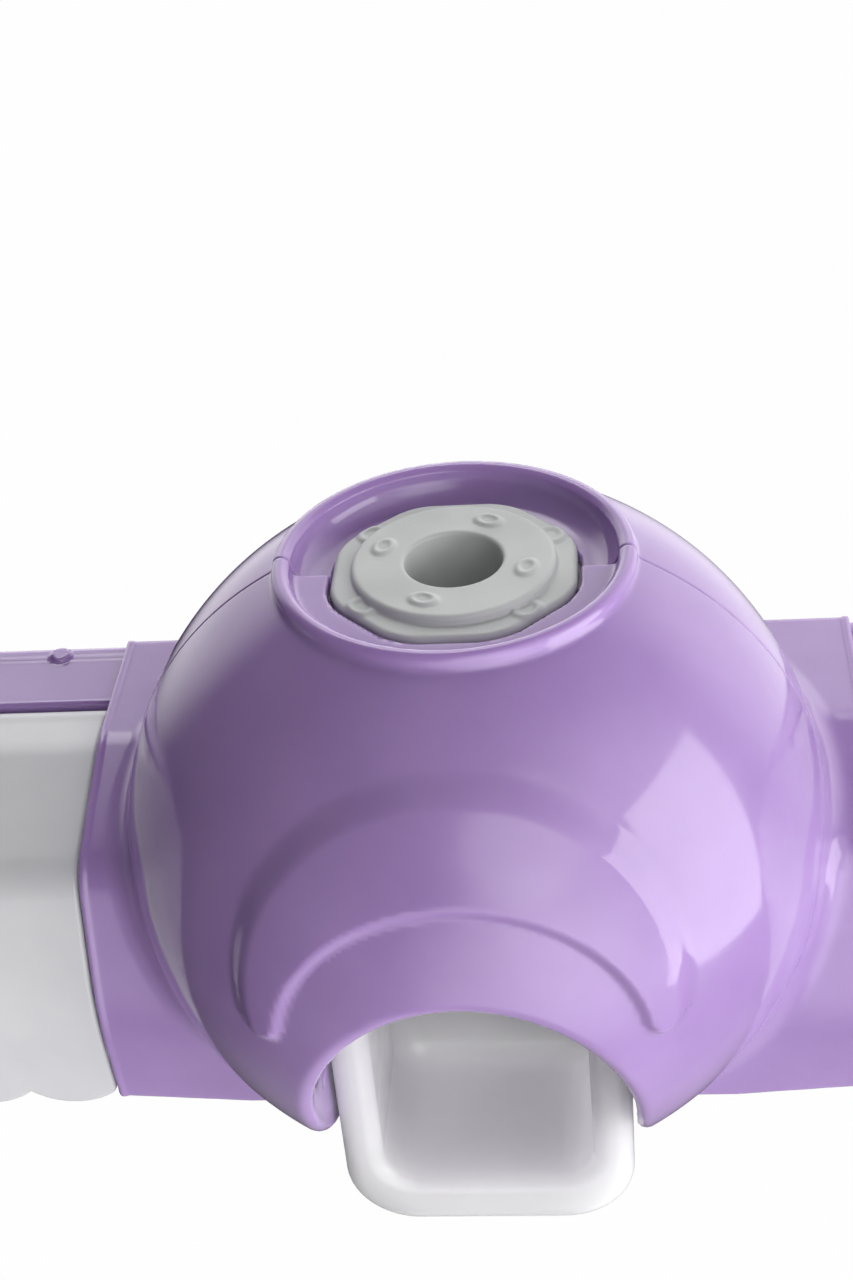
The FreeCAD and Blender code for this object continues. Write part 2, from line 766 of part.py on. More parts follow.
def biarc(start, start_way, end, end_way):
    """Two tangent arcs from one point to the next, leaving and arriving along unit directions."""
    chord = end - start
    ways = start_way + end_way
    spread = 2 * (1 - start_way.dot(end_way))
    lean = chord.dot(ways)
    reach = (-lean + math.sqrt(lean * lean + spread * chord.dot(chord))) / spread
    middle = (start + end + (start_way - end_way) * reach) * 0.5
    arcs = []
    for point, way, far in ((start, start_way, middle), (end, end_way * -1, middle)):
        side = far - point
        square = side - way * side.dot(way)
        radius = side.dot(side) / (2 * square.Length)
        centre = point + square.normalize() * radius
        half = ((point - centre) + (far - centre)).normalize() * radius
        ends = (point, centre + half, far)
        arcs.append(Part.Arc(*(ends if point == start else ends[::-1])).toShape())
    return arcs


def least_gap(points, apart, wire):
    """Least clear distance between stretches of the wire that lie at least so many points apart."""
    return min(
        (points[i] - points[j]).Length
        for i in range(len(points))
        for j in range(i + apart, len(points))
    ) - 2 * wire


def spring_shape():
    radius = sheet.spring_radius
    low = -sheet.cup_front + sheet.cup_depth + sheet.spring_wire + sheet.spring_end_gap
    high = -sheet.barrel_front - sheet.barrel_cap - sheet.spring_wire - sheet.spring_end_gap
    steps = SPRING_TURNS * QUARTERS
    rise = (high - low) / steps
    slope = rise / (math.tau / QUARTERS)

    def spot(step):
        turn = step * math.tau / QUARTERS
        return Vector(radius * math.cos(turn), low + rise * step, radius * math.sin(turn) - sheet.pump_down)

    def heading(step):
        turn = step * math.tau / QUARTERS
        return Vector(-radius * math.sin(turn), slope, radius * math.cos(turn)).normalize()

    edges = []
    for step in range(steps):
        edges += biarc(spot(step), heading(step), spot(step + 1), heading(step + 1))
    path = Part.Wire(edges)
    ring_edge = Part.Circle(spot(0), heading(0), sheet.spring_wire).toShape()
    shape = path.makePipeShell([Part.Wire(ring_edge)], True, False)
    points = [edge.valueAt(edge.FirstParameter) for edge in path.Edges]
    print("return_spring least gap", round(least_gap(points, 2 * QUARTERS - 1, sheet.spring_wire), 2), "mm")
    return shape


spring = doc.addObject("Part::Feature", "return_spring")
spring.Shape = spring_shape()
spring.Placement = FreeCAD.Placement()
node(spring, "return_spring")

# Right arm: collar against the ball, flange, back, top strip and hinge ears in one moulding.

cover_low = "arm_inner + cover_side_gap"
cover_high = f"{cover_low} + {LOBES}*lobe_pitch"
arm_outer = f"{cover_high} + cover_side_gap"
ARM_OUTLINE = [
    ("-back_gap", "-arm_bottom"),
    ("-back_gap", "arm_top"),
    ("-shoulder_depth", "arm_top", "shoulder_round"),
    ("-brow_depth", "arm_top - brow_drop", "brow_round"),
    ("-arm_front", "-belly_down", "belly_round"),
    ("-foot_depth", "-arm_bottom"),
]
HOLLOW_OUTLINE = [
    ("-back_gap - arm_wall", "-arm_bottom + arm_wall"),
    ("-back_gap - arm_wall", "arm_top - arm_wall"),
    ("-shoulder_depth", "arm_top - arm_wall"),
    ("-brow_depth + arm_wall", "arm_top - brow_drop - arm_wall", "brow_round - arm_wall"),
    ("-arm_front + arm_wall", "-belly_down", "belly_round - arm_wall"),
    ("-foot_depth + arm_wall", "-arm_bottom + arm_wall"),
]
collar = cut(
    "collar_tube",
    prism("collar", ARM_OUTLINE, "arm_start", "arm_inner"),
    prism("collar_hollow", HOLLOW_OUTLINE, "arm_start + arm_wall", "arm_inner - arm_wall"),
)
arm_bosses = [
    arm_rod(f"arm_boss_{level}", "1", f"arm_screw_{level}", "arm_boss", "arm_start",
            "arm_inner - arm_start")
    for level in ("upper", "lower")
]
arm_boss_holes = [
    arm_rod(f"arm_boss_hole_{level}", "1", f"arm_screw_{level}", "screw_radius + screw_fit",
            arm_seat(f"arm_screw_{level}"), "screw_length + screw_fit")
    for level in ("upper", "lower")
]
strip_top = "arm_top - strip_step"
ear_spans = {
    "inner": ("arm_inner + ear_inset", "arm_inner + ear_inset + ear_width"),
    "middle": (f"({cover_low} + {cover_high} - ear_width)/2", f"({cover_low} + {cover_high} + ear_width)/2"),
    "outer": (f"{arm_outer} - ear_inset - ear_width", f"{arm_outer} - ear_inset"),
}
hinge_up = "(arm_top - hinge_drop)"
hinge_line = {"y": "-hinge_depth", "z": hinge_up}
ears = []
for name, span in ear_spans.items():
    ears.append(rod(f"ear_eye_{name}", "x", "ear_radius", *span, **hinge_line))
    ears.append(
        block(f"ear_root_{name}", span, ("-hinge_depth", "-strip_depth + arm_wall"),
              (f"{hinge_up} - ear_radius", f"{strip_top} - arm_wall/2"))
    )
node(
    cut(
        "right_arm_frame",
        fuse("arm_form", collar, *arm_bosses,
             block("arm_back", ("arm_inner", arm_outer), ("-back_gap - arm_wall", "-back_gap"),
                   ("-arm_bottom", strip_top)),
             block("arm_strip", ("arm_inner", arm_outer), ("-strip_depth", "-back_gap"),
                   (f"{strip_top} - arm_wall", strip_top)),
             *ears),
        ball("collar_ball", "ball_radius + collar_gap"),
        rod("ear_holes", "x", "pin_radius + pin_fit", "arm_inner", arm_outer, **hinge_line),
        *arm_boss_holes,
    ),
    "right_arm_frame",
)
node(prism("right_end_cap", ARM_OUTLINE, arm_outer, f"{arm_outer} + end_cap"), "right_end_cap")
node(rod("right_hinge_pin", "x", "pin_radius", "arm_inner", arm_outer, **hinge_line), "right_hinge_pin")

# Right cover: a sloping top and an upright front with a scalloped lower edge, on hinge knuckles.

cover_top = f"({hinge_up} + knuckle_radius)"
cover_foot = "-foot_depth + cover_inset"
COVER_OUTLINE = [
    ("-hinge_depth", cover_top),
    ("-shoulder_depth", cover_top, "shoulder_round"),
    ("-brow_depth + cover_inset", f"{cover_top} - brow_drop", "brow_round"),
    ("-arm_front + cover_inset", "-belly_down", "belly_round"),
    (cover_foot, "-cover_bottom"),
    (f"{cover_foot} + cover_wall", "-cover_bottom"),
    ("-arm_front + cover_inset + cover_wall", "-belly_down", "belly_round - cover_wall"),
    ("-brow_depth + cover_inset + cover_wall", f"{cover_top} - brow_drop - cover_wall",
     "brow_round - cover_wall"),
    ("-shoulder_depth", f"{cover_top} - cover_wall"),
    ("-hinge_depth", f"{cover_top} - cover_wall"),
]
cover_bend = prism("cover_bend", COVER_OUTLINE, cover_low, cover_high)
lobe_radius = "(lobe_pitch^2/4 + lobe_drop^2)/(2*lobe_drop)"
lobes = common(
    "cover_lobes",
    fuse("lobe_discs", *(
        rod(f"lobe_{k}", "y", lobe_radius, cover_foot, f"{cover_foot} + cover_wall",
            x=f"{cover_low} + {2 * k + 1}*lobe_pitch/2", z=f"{lobe_radius} - cover_bottom - lobe_drop")
        for k in range(LOBES)
    )),
    block("lobe_band", (cover_low, cover_high), (cover_foot, f"{cover_foot} + cover_wall"),
          ("-cover_bottom - lobe_drop", "-cover_bottom + lobe_root")),
)
knuckle_spans = {
    "first": (cover_low, f"{ear_spans['inner'][0]} - ear_gap"),
    "inner": (f"{ear_spans['inner'][1]} + ear_gap", f"{ear_spans['middle'][0]} - ear_gap"),
    "outer": (f"{ear_spans['middle'][1]} + ear_gap", f"{ear_spans['outer'][0]} - ear_gap"),
    "last": (f"{ear_spans['outer'][1]} + ear_gap", cover_high),
}
ear_notches = [
    block(f"ear_notch_{name}", (f"{low} - ear_gap", f"{high} + ear_gap"),
          ("-hinge_depth - notch_reach", "-strip_depth + overrun"), ("-overrun", "arm_top + overrun"))
    for name, (low, high) in ear_spans.items()
]
node(
    cut(
        "right_cover",
        fuse("cover_form", cut("cover_plate", fuse("cover_sheet", cover_bend, lobes), *ear_notches),
             *(rod(f"knuckle_{name}", "x", "knuckle_radius", *span, **hinge_line)
               for name, span in knuckle_spans.items())),
        rod("knuckle_holes", "x", "pin_radius + pin_running", "arm_inner", arm_outer, **hinge_line),
    ),
    "right_cover",
)

# Right brush rack: a shelf with slots that open at the front.

rack_z = ("-rack_down - rack_thick", "-rack_down")
slot_pitch = f"({cover_high} - ({cover_low}))/{SLOTS}"
slots = []
for k in range(SLOTS):
    middle = f"{cover_low} + {2 * k + 1}*{slot_pitch}/2"
    slots.append(
        block(f"slot_{k}", (f"{middle} - slot_half", f"{middle} + slot_half"),
              ("-rack_front - overrun", "-slot_end"), ("-rack_down - overrun", "-rack_down + overrun"))
    )
    slots.append(
        rod(f"slot_end_{k}", "z", "slot_half", "-rack_down - overrun", "-rack_down + overrun", x=middle,
            y="-slot_end")
    )
node(
    cut("right_brush_rack",
        block("rack_shelf", ("arm_inner + rack_end_gap", f"{arm_outer} - rack_end_gap"),
              ("-rack_front", "-back_gap - arm_wall"), rack_z),
        *slots),
    "right_brush_rack",
)

for right in [thing for thing in nodes if thing.Label.startswith("right_")]:
    mirrored(right, right.Label.replace("right_", "left_"))

# Wall plate, adhesive pad and screws

node(
    cut("wall_plate",
        block("plate_slab", ("-plate_width/2", "plate_width/2"), ("-back_gap", "-back_gap + plate_thick"),
              ("-plate_height/2", "plate_height/2")),
        *(rod(f"plate_hole_{side}", "y", "wall_screw_hole", "-back_gap - overrun", "overrun",
              x=f"{sign}*wall_screw_half") for side, sign in (("left", "-1"), ("right", "1")))),
    "wall_plate",
)
node(
    cut("adhesive_pad",
        block("pad_slab", ("-plate_width/2 + pad_margin", "plate_width/2 - pad_margin"),
              ("-back_gap + plate_thick", "-back_gap + plate_thick + pad_thick"),
              ("-plate_height/2 + pad_margin", "plate_height/2 - pad_margin")),
        *(rod(f"pad_hole_{side}", "y", "wall_screw_head", "-overrun", "overrun",
              x=f"{sign}*wall_screw_half") for side, sign in (("left", "-1"), ("right", "1")))),
    "adhesive_pad",
)
shell_screws = []
for name, (x, z) in POSTS.items():
    shell_screws.append(
        rod(f"shell_shank_{name}", "y", "screw_radius", f"{seat_plane} - screw_length", seat_plane, x=x, z=z)
    )
    shell_screws.append(
        rod(f"shell_head_{name}", "y", "screw_head_radius", seat_plane, f"{seat_plane} + screw_head",
            x=x, z=z)
    )
node(fuse("shell_screws", *shell_screws), "shell_screws")
arm_screws = []
for name, (sign, level) in ARM_SCREWS.items():
    arm_screws.append(
        arm_rod(f"arm_shank_{name}", sign, level, "screw_radius", arm_seat(level), "screw_length")
    )
    arm_screws.append(
        arm_rod(f"arm_head_{name}", sign, level, "screw_head_radius", f"{arm_seat(level)} - screw_head",
                "screw_head")
    )
node(fuse("arm_screws", *arm_screws), "arm_screws")
pump_screws = []
for side, x in PUMP_SCREWS.items():
    pump_screws.append(
        rod(f"pump_shank_{side}", "y", "screw_radius", plate_plane,
            f"{pump_plane} + pump_screw_bite - screw_fit", x=x, z="-pump_screw_down")
    )
    pump_screws.append(
        rod(f"pump_head_{side}", "y", "screw_head_radius", f"{plate_plane} - screw_head", plate_plane, x=x,
            z="-pump_screw_down")
    )
node(fuse("pump_screws", *pump_screws), "pump_screws")

# Check every object and write each sub-part's solids.

doc.recompute()
failed = [thing.Name for thing in doc.Objects if {"Invalid", "Error"} & set(thing.State)]
failed += [thing.Label for thing in nodes if thing.Shape.isNull() or not thing.Shape.isValid()]
if failed:
    raise RuntimeError(f"failed objects: {failed}")
os.makedirs("parts", exist_ok=True)
for thing in nodes:
    thing.Shape.exportStep(f"parts/{thing.Label}.step")
    solids = thing.Shape.Solids
    print(thing.Label, len(solids), "solids", round(thing.Shape.Volume), "mm3")
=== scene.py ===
# %% [markdown]
# # A wall dispenser with two brush arms
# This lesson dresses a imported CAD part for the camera. The object is a glossy lavender ball with
# a neck seal on top, a white push cup in its mouth, and an arm on each side behind a white cover.
# The CAD model knows where everything sits and how it moves; here every moulding gets the soft
# edges, fillets and finishes that an injection mould leaves. First we load the frame and keep
# its box, because the dressed model has to stay inside it.

# %% Load the frame
import math

import bpy
import numpy as np
from mathutils import Matrix, Vector


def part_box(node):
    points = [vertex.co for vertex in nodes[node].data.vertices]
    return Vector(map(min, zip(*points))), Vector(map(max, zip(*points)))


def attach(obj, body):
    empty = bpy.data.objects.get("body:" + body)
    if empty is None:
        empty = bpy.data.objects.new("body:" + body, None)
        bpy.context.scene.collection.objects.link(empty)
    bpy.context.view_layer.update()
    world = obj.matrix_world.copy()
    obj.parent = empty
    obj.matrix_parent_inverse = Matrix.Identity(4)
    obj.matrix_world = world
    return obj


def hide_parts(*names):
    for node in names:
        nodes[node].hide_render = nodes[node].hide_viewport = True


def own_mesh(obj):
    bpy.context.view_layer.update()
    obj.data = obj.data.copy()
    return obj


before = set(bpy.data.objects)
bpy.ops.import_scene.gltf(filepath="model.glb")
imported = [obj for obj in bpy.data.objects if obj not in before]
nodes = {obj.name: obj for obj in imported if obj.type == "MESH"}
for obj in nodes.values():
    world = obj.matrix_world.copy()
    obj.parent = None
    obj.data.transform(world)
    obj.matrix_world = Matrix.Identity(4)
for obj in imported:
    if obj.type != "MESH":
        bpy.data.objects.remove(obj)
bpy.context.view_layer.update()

MM = 0.001

# %% [markdown]
# ## Measures from the frame
# A scene that repeats CAD numbers by hand drifts away from the CAD. So the main sizes are read
# from the boxes of the nodes: the ball's radius is half the width of its shell, the parting
# plane is where the front shell ends, and so on. All shape work below is done in millimetres.

# %% Read the main sizes
def box_mm(node):
    low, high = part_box(node)
    return np.array(low) / MM, np.array(high) / MM


front_low, front_high = box_mm("front_shell")
rear_high = box_mm("rear_shell")[1]
BALL = rear_high[0]
PARTING = front_high[1]
LIP_TOP = front_high[2]
FOOT = front_low[2]
BACK = rear_high[1]
print(f"ball radius {BALL:.1f}, parting plane {PARTING:.1f}, lip top {LIP_TOP:.1f}, back {BACK:.1f} mm")

# %% [markdown]
# ## Shapes as distance fields
# Moulded plastic has no sharp edges: every wall flows into the next through a small radius.
# Subdivision modelling can do that, but where a ball, a tunnel and a rim all meet, the edge
# loops get hard to lay out. A distance field is easier: a function that tells how far a point
# is from the surface, negative inside. Two fields join or cut each other with a rounding radius
# in one formula, so the fillets come for free.

# %% Rounded joins and cuts
def round_cut(a, b, radius):
    """Keep what is inside both fields, with the edge between them rounded."""
    return np.minimum(-radius, np.maximum(a, b)) + np.hypot(
        np.maximum(radius + a, 0), np.maximum(radius + b, 0))


def round_join(a, b, radius):
    """Keep what is inside either field, with a fillet where they meet."""
    return np.maximum(radius, np.minimum(a, b)) - np.hypot(
        np.maximum(radius - a, 0), np.maximum(radius - b, 0))


def slab(value, low, high):
    return np.abs(value - (low + high) / 2) - (high - low) / 2


def rounded_corner(side, under, radius):
    """Two walls that meet in an arc, both measured from the arc's centre."""
    return np.hypot(np.maximum(side, 0), np.maximum(under, 0)) + np.minimum(
        np.maximum(side, under), 0) - radius


def rounded_slot(across, down, half, low, radius):
    """A slot that is open upwards, with two rounded lower corners."""
    return rounded_corner(np.abs(across) - (half - radius), low + radius - down, radius)


def ease(value):
    """A smooth step from 0 to 1."""
    value = np.clip(value, 0, 1)
    return value * value * (3 - 2 * value)


print("a square corner rounded by 2 mm loses", round(float(round_cut(0.0, 0.0, 2.0)), 2), "mm")

# %% [markdown]
# ## From a field to a mesh
# A mesh is taken from a field with surface nets. The field is sampled on a grid, each grid cell
# that the surface crosses gets one point at the middle of its crossings, and each crossed grid
# edge gets a quad between its four cells. Then every point slides along the field's slope until
# it lies on the surface, and the slope also gives the normals, so even a coarse grid shades
# smoothly. Each grid reaches past its shape by a small margin, so that the surface closes before
# the grid ends. Metaballs and a voxel remesh work in a similar way, but neither gives exact radii.

# %% Grid lines that are closer together where a shape needs it
TINY = 1e-9
LEAST_TICK = 1e-3


def ticks(low, high, step, *fine):
    """Grid lines from low to high; fine zones are (low, high, step)."""
    lines = [low]
    while lines[-1] < high:
        here = lines[-1]
        steps = [zone[2] for zone in fine if zone[0] <= here + TINY < zone[1]]
        ahead = [zone[0] for zone in fine if zone[0] > here + TINY]
        move = min(steps) if steps else min([step] + [edge - here for edge in ahead])
        lines.append(here + max(move, LEAST_TICK))
    return np.array(lines)


print("lines from 0 to 4, finer from 2 to 3:", ticks(0, 4, 1, (2, 3, 0.5)))

# %% Surface nets: one point in each crossed cell
CORNERS = np.array([(i, j, k) for i in (0, 1) for j in (0, 1) for k in (0, 1)])
CELL_EDGES = [(a, b) for a in range(8) for b in range(a + 1, 8)
              if np.abs(CORNERS[a] - CORNERS[b]).sum() == 1]


def cell_points(values, lines, spots):
    """The middle of the crossings on each cell's twelve edges."""
    corner_values = np.stack([values[tuple((spots + corner).T)] for corner in CORNERS], axis=1)
    corner_points = np.stack([
        np.stack([lines[a][spots[:, a] + corner[a]] for a in range(3)], axis=1)
        for corner in CORNERS], axis=1)
    total = np.zeros((len(spots), 3))
    count = np.zeros(len(spots))
    for a, b in CELL_EDGES:
        start, stop = corner_values[:, a], corner_values[:, b]
        crossed = (start < 0) != (stop < 0)
        share = np.where(crossed, start / np.where(crossed, start - stop, 1), 0)[:, None]
        spot = corner_points[:, a] * (1 - share) + corner_points[:, b] * share
        total += np.where(crossed[:, None], spot, 0)
        count += crossed
    return total / count[:, None]


print("edges of a cell:", len(CELL_EDGES))


# %% Surface nets: one quad across each crossed edge
def cell_quads(inside, number):
    """Quads between the four cells around each crossed grid edge, facing outwards."""
    quads = []
    for axis in range(3):
        other, third = (axis + 1) % 3, (axis + 2) % 3
        near = [slice(None)] * 3
        far = [slice(None)] * 3
        near[axis], far[axis] = slice(0, -1), slice(1, None)
        crossing = np.argwhere(inside[tuple(near)] != inside[tuple(far)])
        leaving = inside[tuple(near)][tuple(crossing.T)]
        ring = []
        for back_other, back_third in ((0, 0), (1, 0), (1, 1), (0, 1)):
            cell = crossing.copy()
            cell[:, other] -= back_other
            cell[:, third] -= back_third
            ring.append(number[tuple(cell.T)])
        ring = np.stack(ring, axis=1)
        quads.append(np.where(leaving[:, None], ring, ring[:, ::-1]))
    return np.concatenate(quads)


def surface_net(field, lines):
    """Points and quads of the surface where the field is zero."""
    values = np.broadcast_to(
        field(lines[0][:, None, None], lines[1][None, :, None], lines[2][None, None, :]),
        tuple(len(line) for line in lines))
    inside = values < 0
    cells = tuple(len(line) - 1 for line in lines)
    full = sum(inside[i:i + cells[0], j:j + cells[1], k:k + cells[2]].astype(np.int8)
               for i, j, k in CORNERS)
    spots = np.argwhere((full > 0) & (full < len(CORNERS)))
    number = np.full(cells, -1, np.int32)
    number[tuple(spots.T)] = np.arange(len(spots))
    return cell_points(values, lines, spots), cell_quads(inside, number)


test_line = ticks(-2.5, 2.5, 1)
test_points, test_quads = surface_net(
    lambda x, y, z: np.sqrt(x * x + y * y + z * z) - 2, (test_line, test_line, test_line))
print("a ball of 2 mm on a coarse grid:", len(test_points), "points,", len(test_quads), "quads")


# %% Make an object from points, normals and quads
def make_piece(name, points, normals, quads):
    mesh = bpy.data.meshes.new(name)
    mesh.vertices.add(len(points))
    mesh.vertices.foreach_set("co", (points * MM).astype(np.float32).ravel())
    mesh.loops.add(quads.size)
    mesh.loops.foreach_set("vertex_index", quads.astype(np.int32).ravel())
    mesh.polygons.add(len(quads))
    mesh.polygons.foreach_set("loop_start", np.arange(0, quads.size, 4, dtype=np.int32))
    mesh.update(calc_edges=True)
    mesh.validate()
    mesh.polygons.foreach_set("use_smooth", np.ones(len(mesh.polygons), bool))
    mesh.normals_split_custom_set_from_vertices(normals.tolist())
    piece = bpy.data.objects.new(name, mesh)
    bpy.context.scene.collection.objects.link(piece)
    print(f"{name}: {len(points)} points, {len(quads)} quads")
    return piece


# %% Settle the points on the surface
GRADIENT_REACH, NORMAL_REACH = 0.05, 0.25
SETTLE_ROUNDS = 4
LEAST_SLOPE = 0.05


def slope(field, points, reach):
    """The field's gradient at the points, from differences over a reach."""
    columns = []
    for axis in range(3):
        shift = np.zeros(3)
        shift[axis] = reach
        ahead = field(*(points + shift).T)
        behind = field(*(points - shift).T)
        columns.append((ahead - behind) / (2 * reach))
    return np.stack(columns, axis=1)


def moulding(name, field, lines, mirror_name=None):
    """Skin a field; a mirror name makes the same moulding for the other side too."""
    points, quads = surface_net(field, lines)
    limit = min(np.diff(line).max() for line in lines) / 2
    for _ in range(SETTLE_ROUNDS):
        tilt = slope(field, points, GRADIENT_REACH)
        size = np.maximum((tilt * tilt).sum(axis=1), LEAST_SLOPE)
        move = -(field(*points.T) / size)[:, None] * tilt
        length = np.linalg.norm(move, axis=1, keepdims=True)
        points = points + move * np.minimum(1, limit / np.maximum(length, TINY))
    tilt = slope(field, points, NORMAL_REACH)
    normals = tilt / np.maximum(np.linalg.norm(tilt, axis=1, keepdims=True), TINY)
    pieces = [make_piece(name, points, normals, quads)]
    if mirror_name:
        flip = np.array([-1, 1, 1])
        pieces.append(make_piece(mirror_name, points * flip, normals * flip, quads[:, ::-1]))
    return pieces


# %% [markdown]
# ## The ball
# The body is a hollow ball in two halves. A rolled lip stands on its top around a dished floor,
# and the floor has an eight-sided cut-out for the seal. On the front a soft crescent is raised
# from the surface. It is no separate piece on the real moulding, so here it is a swelling of the
# ball's radius that eases in and out, more slowly on its outer side than on its inner side.

# %% Crescent
CRESCENT_RISE = 1.2
CRESCENT_OUTER, CRESCENT_OUTER_UP, CRESCENT_OUTER_SOFT = 28.7, 6.0, 3.0
CRESCENT_INNER, CRESCENT_INNER_UP, CRESCENT_INNER_SOFT = 24.0, -1.8, 2.2
CRESCENT_END_UP = 1.8
end_outer = math.sqrt(CRESCENT_OUTER ** 2 - (CRESCENT_END_UP - CRESCENT_OUTER_UP) ** 2)
end_inner = math.sqrt(CRESCENT_INNER ** 2 - (CRESCENT_END_UP - CRESCENT_INNER_UP) ** 2)


def from_centre(x, y, z):
    return np.sqrt(x * x + (y - PARTING) ** 2 + z * z)


def crescent_height(x, y, z):
    outer = np.hypot(x, z - CRESCENT_OUTER_UP) - CRESCENT_OUTER
    inner = CRESCENT_INNER - np.hypot(x, z - CRESCENT_INNER_UP)
    tip = np.hypot(np.abs(x) - (end_outer + end_inner) / 2, z - CRESCENT_END_UP)
    tip = tip - (end_outer - end_inner) / 2
    above = z > CRESCENT_END_UP
    edge_out = np.where(above, outer, tip)
    edge_in = np.where(above, inner, tip)
    rise = ease(0.5 - edge_out / CRESCENT_OUTER_SOFT) * ease(0.5 - edge_in / CRESCENT_INNER_SOFT)
    return CRESCENT_RISE * rise * (y < PARTING)


print(f"crescent tips at {end_inner:.1f} to {end_outer:.1f} mm from the middle")

# %% Lip and dish
LIP_RADIUS, LIP_ROLL, LIP_FILLET = 23.15, 1.2, 0.6
FLOOR_UNDERSIDE = 39.2


def ball_with_lip(x, y, z):
    ball = from_centre(x, y, z) - BALL - crescent_height(x, y, z)
    ring = np.hypot(x, y - PARTING)
    lip_z = np.clip(z, FLOOR_UNDERSIDE - LIP_ROLL, LIP_TOP - LIP_ROLL)
    lip = np.hypot(ring - LIP_RADIUS, z - lip_z) - LIP_ROLL
    return round_join(ball, lip, LIP_FILLET)


def dish(x, y, z, floor, cove):
    """The room inside the lip, with a cove where its wall meets the floor."""
    ring = np.hypot(x, y - PARTING)
    return round_cut(ring - (LIP_RADIUS - LIP_ROLL), floor - z, cove)


print(f"the lip is {2 * LIP_ROLL:.1f} mm thick")

# %% Cut-out for the seal
SHELL_WALL = 3.0
SEAL_HALF = box_mm("neck_seal")[1][0]
SEAL_HOLE_GAP, SEAL_CORNER, HOLE_EDGE = 0.45, 2.4, 0.4


def octagon(x, y, half, corner):
    across, along = np.abs(x), np.abs(y - PARTING)
    flat = np.maximum(across, along) - half
    slant = (across + along) / math.sqrt(2) - half
    return round_cut(flat, slant, corner)


def lip_and_floor(x, y, z, floor, cove, inner):
    """The hollow ball with its lip, dished floor and seal cut-out."""
    shell = np.maximum(ball_with_lip(x, y, z), -inner)
    shell = np.maximum(shell, -dish(x, y, z, floor, cove))
    hole = octagon(x, y, SEAL_HALF + SEAL_HOLE_GAP, SEAL_CORNER)
    hole = np.maximum(hole, FLOOR_UNDERSIDE - SHELL_WALL - z)
    return round_cut(shell, -hole, HOLE_EDGE)


print(f"the cut-out is {2 * (SEAL_HALF + SEAL_HOLE_GAP):.1f} mm across its flats")

# %% [markdown]
# ## The front half
# The front half carries the mouth, an arch that is half an ellipse on two upright legs. Its edge
# is thick and rolled, so the tunnel is cut with a large rounding. A short sleeve behind the arch
# and two long cheeks behind its legs guide the cup. The two halves meet in a plane; each stops a
# hair short of it, which leaves the fine dark line that a real parting line shows.

# %% Mouth and screw posts
MOUTH_HALF, MOUTH_HEIGHT, MOUTH_CENTRE = 21.6, 28.3, -20.0
LEAST_BEND = 1e-6
POST_RADIUS = 4.2
POST_PLACES = ((22.0, 18.0), (30.0, -10.0))


def mouth_arch(x, z):
    """About how far a point is from the arch: negative in the opening."""
    share = np.hypot(x / MOUTH_HALF, (z - MOUTH_CENTRE) / MOUTH_HEIGHT)
    bend = np.hypot(x / MOUTH_HALF ** 2, (z - MOUTH_CENTRE) / MOUTH_HEIGHT ** 2)
    curve = share * (share - 1) / np.maximum(bend, LEAST_BEND)
    return np.where(z > MOUTH_CENTRE, curve, np.abs(x) - MOUTH_HALF)


def posts(x, z, radius):
    return np.minimum.reduce([np.hypot(np.abs(x) - out, z - up) - radius for out, up in POST_PLACES])


print(f"the mouth is {2 * MOUTH_HALF:.1f} mm wide; screw posts on each side: {len(POST_PLACES)}")

# %% Front half
MOUTH_ROLL, FOOT_ROLL = 2.4, 2.6
SLEEVE_WALL, SLEEVE_END, CHEEK_END, SLEEVE_FILLET = 2.5, -70.0, -50.0, 0.8
PARTING_GAP, PARTING_EDGE = 0.07, 0.22
FRONT_FLOOR, FRONT_COVE = 42.8, 1.2


def front_half(x, y, z):
    inner = np.maximum(from_centre(x, y, z) - (BALL - SHELL_WALL), z - FLOOR_UNDERSIDE)
    shell = lip_and_floor(x, y, z, FRONT_FLOOR, FRONT_COVE, inner)
    within = from_centre(x, y, z) - (BALL - SHELL_WALL / 2)
    arch = mouth_arch(x, z)
    sleeve = np.maximum(np.maximum(arch - SLEEVE_WALL, within), y - SLEEVE_END)
    cheeks = np.maximum(np.abs(x) - MOUTH_HALF - SLEEVE_WALL, within)
    cheeks = np.maximum(cheeks, np.maximum(y - CHEEK_END, z - MOUTH_CENTRE))
    shell = round_join(shell, np.minimum(sleeve, cheeks), SLEEVE_FILLET)
    shell = np.minimum(shell, np.maximum(posts(x, z, POST_RADIUS), within))
    shell = round_cut(shell, -arch, MOUTH_ROLL)
    shell = round_cut(shell, FOOT - z, FOOT_ROLL)
    return round_cut(shell, y - (PARTING - PARTING_GAP), PARTING_EDGE)


SHELL_STEP, LIP_STEP, PARTING_STEP = 0.72, 0.36, 0.1
SIDE_MARGIN, FOOT_MARGIN, LIP_MARGIN, FRONT_MARGIN, BACK_MARGIN = 1.5, 1.2, 1.0, 3.0, 0.8
LIP_ZONE, PARTING_REACH = 38.6, 0.6
parting_low, parting_high = PARTING - PARTING_REACH, PARTING + PARTING_REACH
parting_zone = (parting_low, parting_high, PARTING_STEP)
grid_top = LIP_TOP + LIP_MARGIN
grid_x = ticks(-BALL - SIDE_MARGIN, BALL + SIDE_MARGIN, SHELL_STEP)
grid_z = ticks(FOOT - FOOT_MARGIN, grid_top, SHELL_STEP, (LIP_ZONE, grid_top, LIP_STEP))
front_shell, = moulding("front_shell_moulding", front_half, (
    grid_x, ticks(PARTING - BALL - FRONT_MARGIN, parting_high, SHELL_STEP, parting_zone), grid_z))

# %% [markdown]
# ## The rear half
# The rear half closes the ball towards the wall. Its floor inside the lip lies a little lower
# than the front one and sweeps up into the lip in a wide cove. Its flat back has four deep bores
# for the screws that hold the halves together and two holes that clear the heads of the wall
# screws. Seen from the wall side these are the details that tell how the thing is put together.

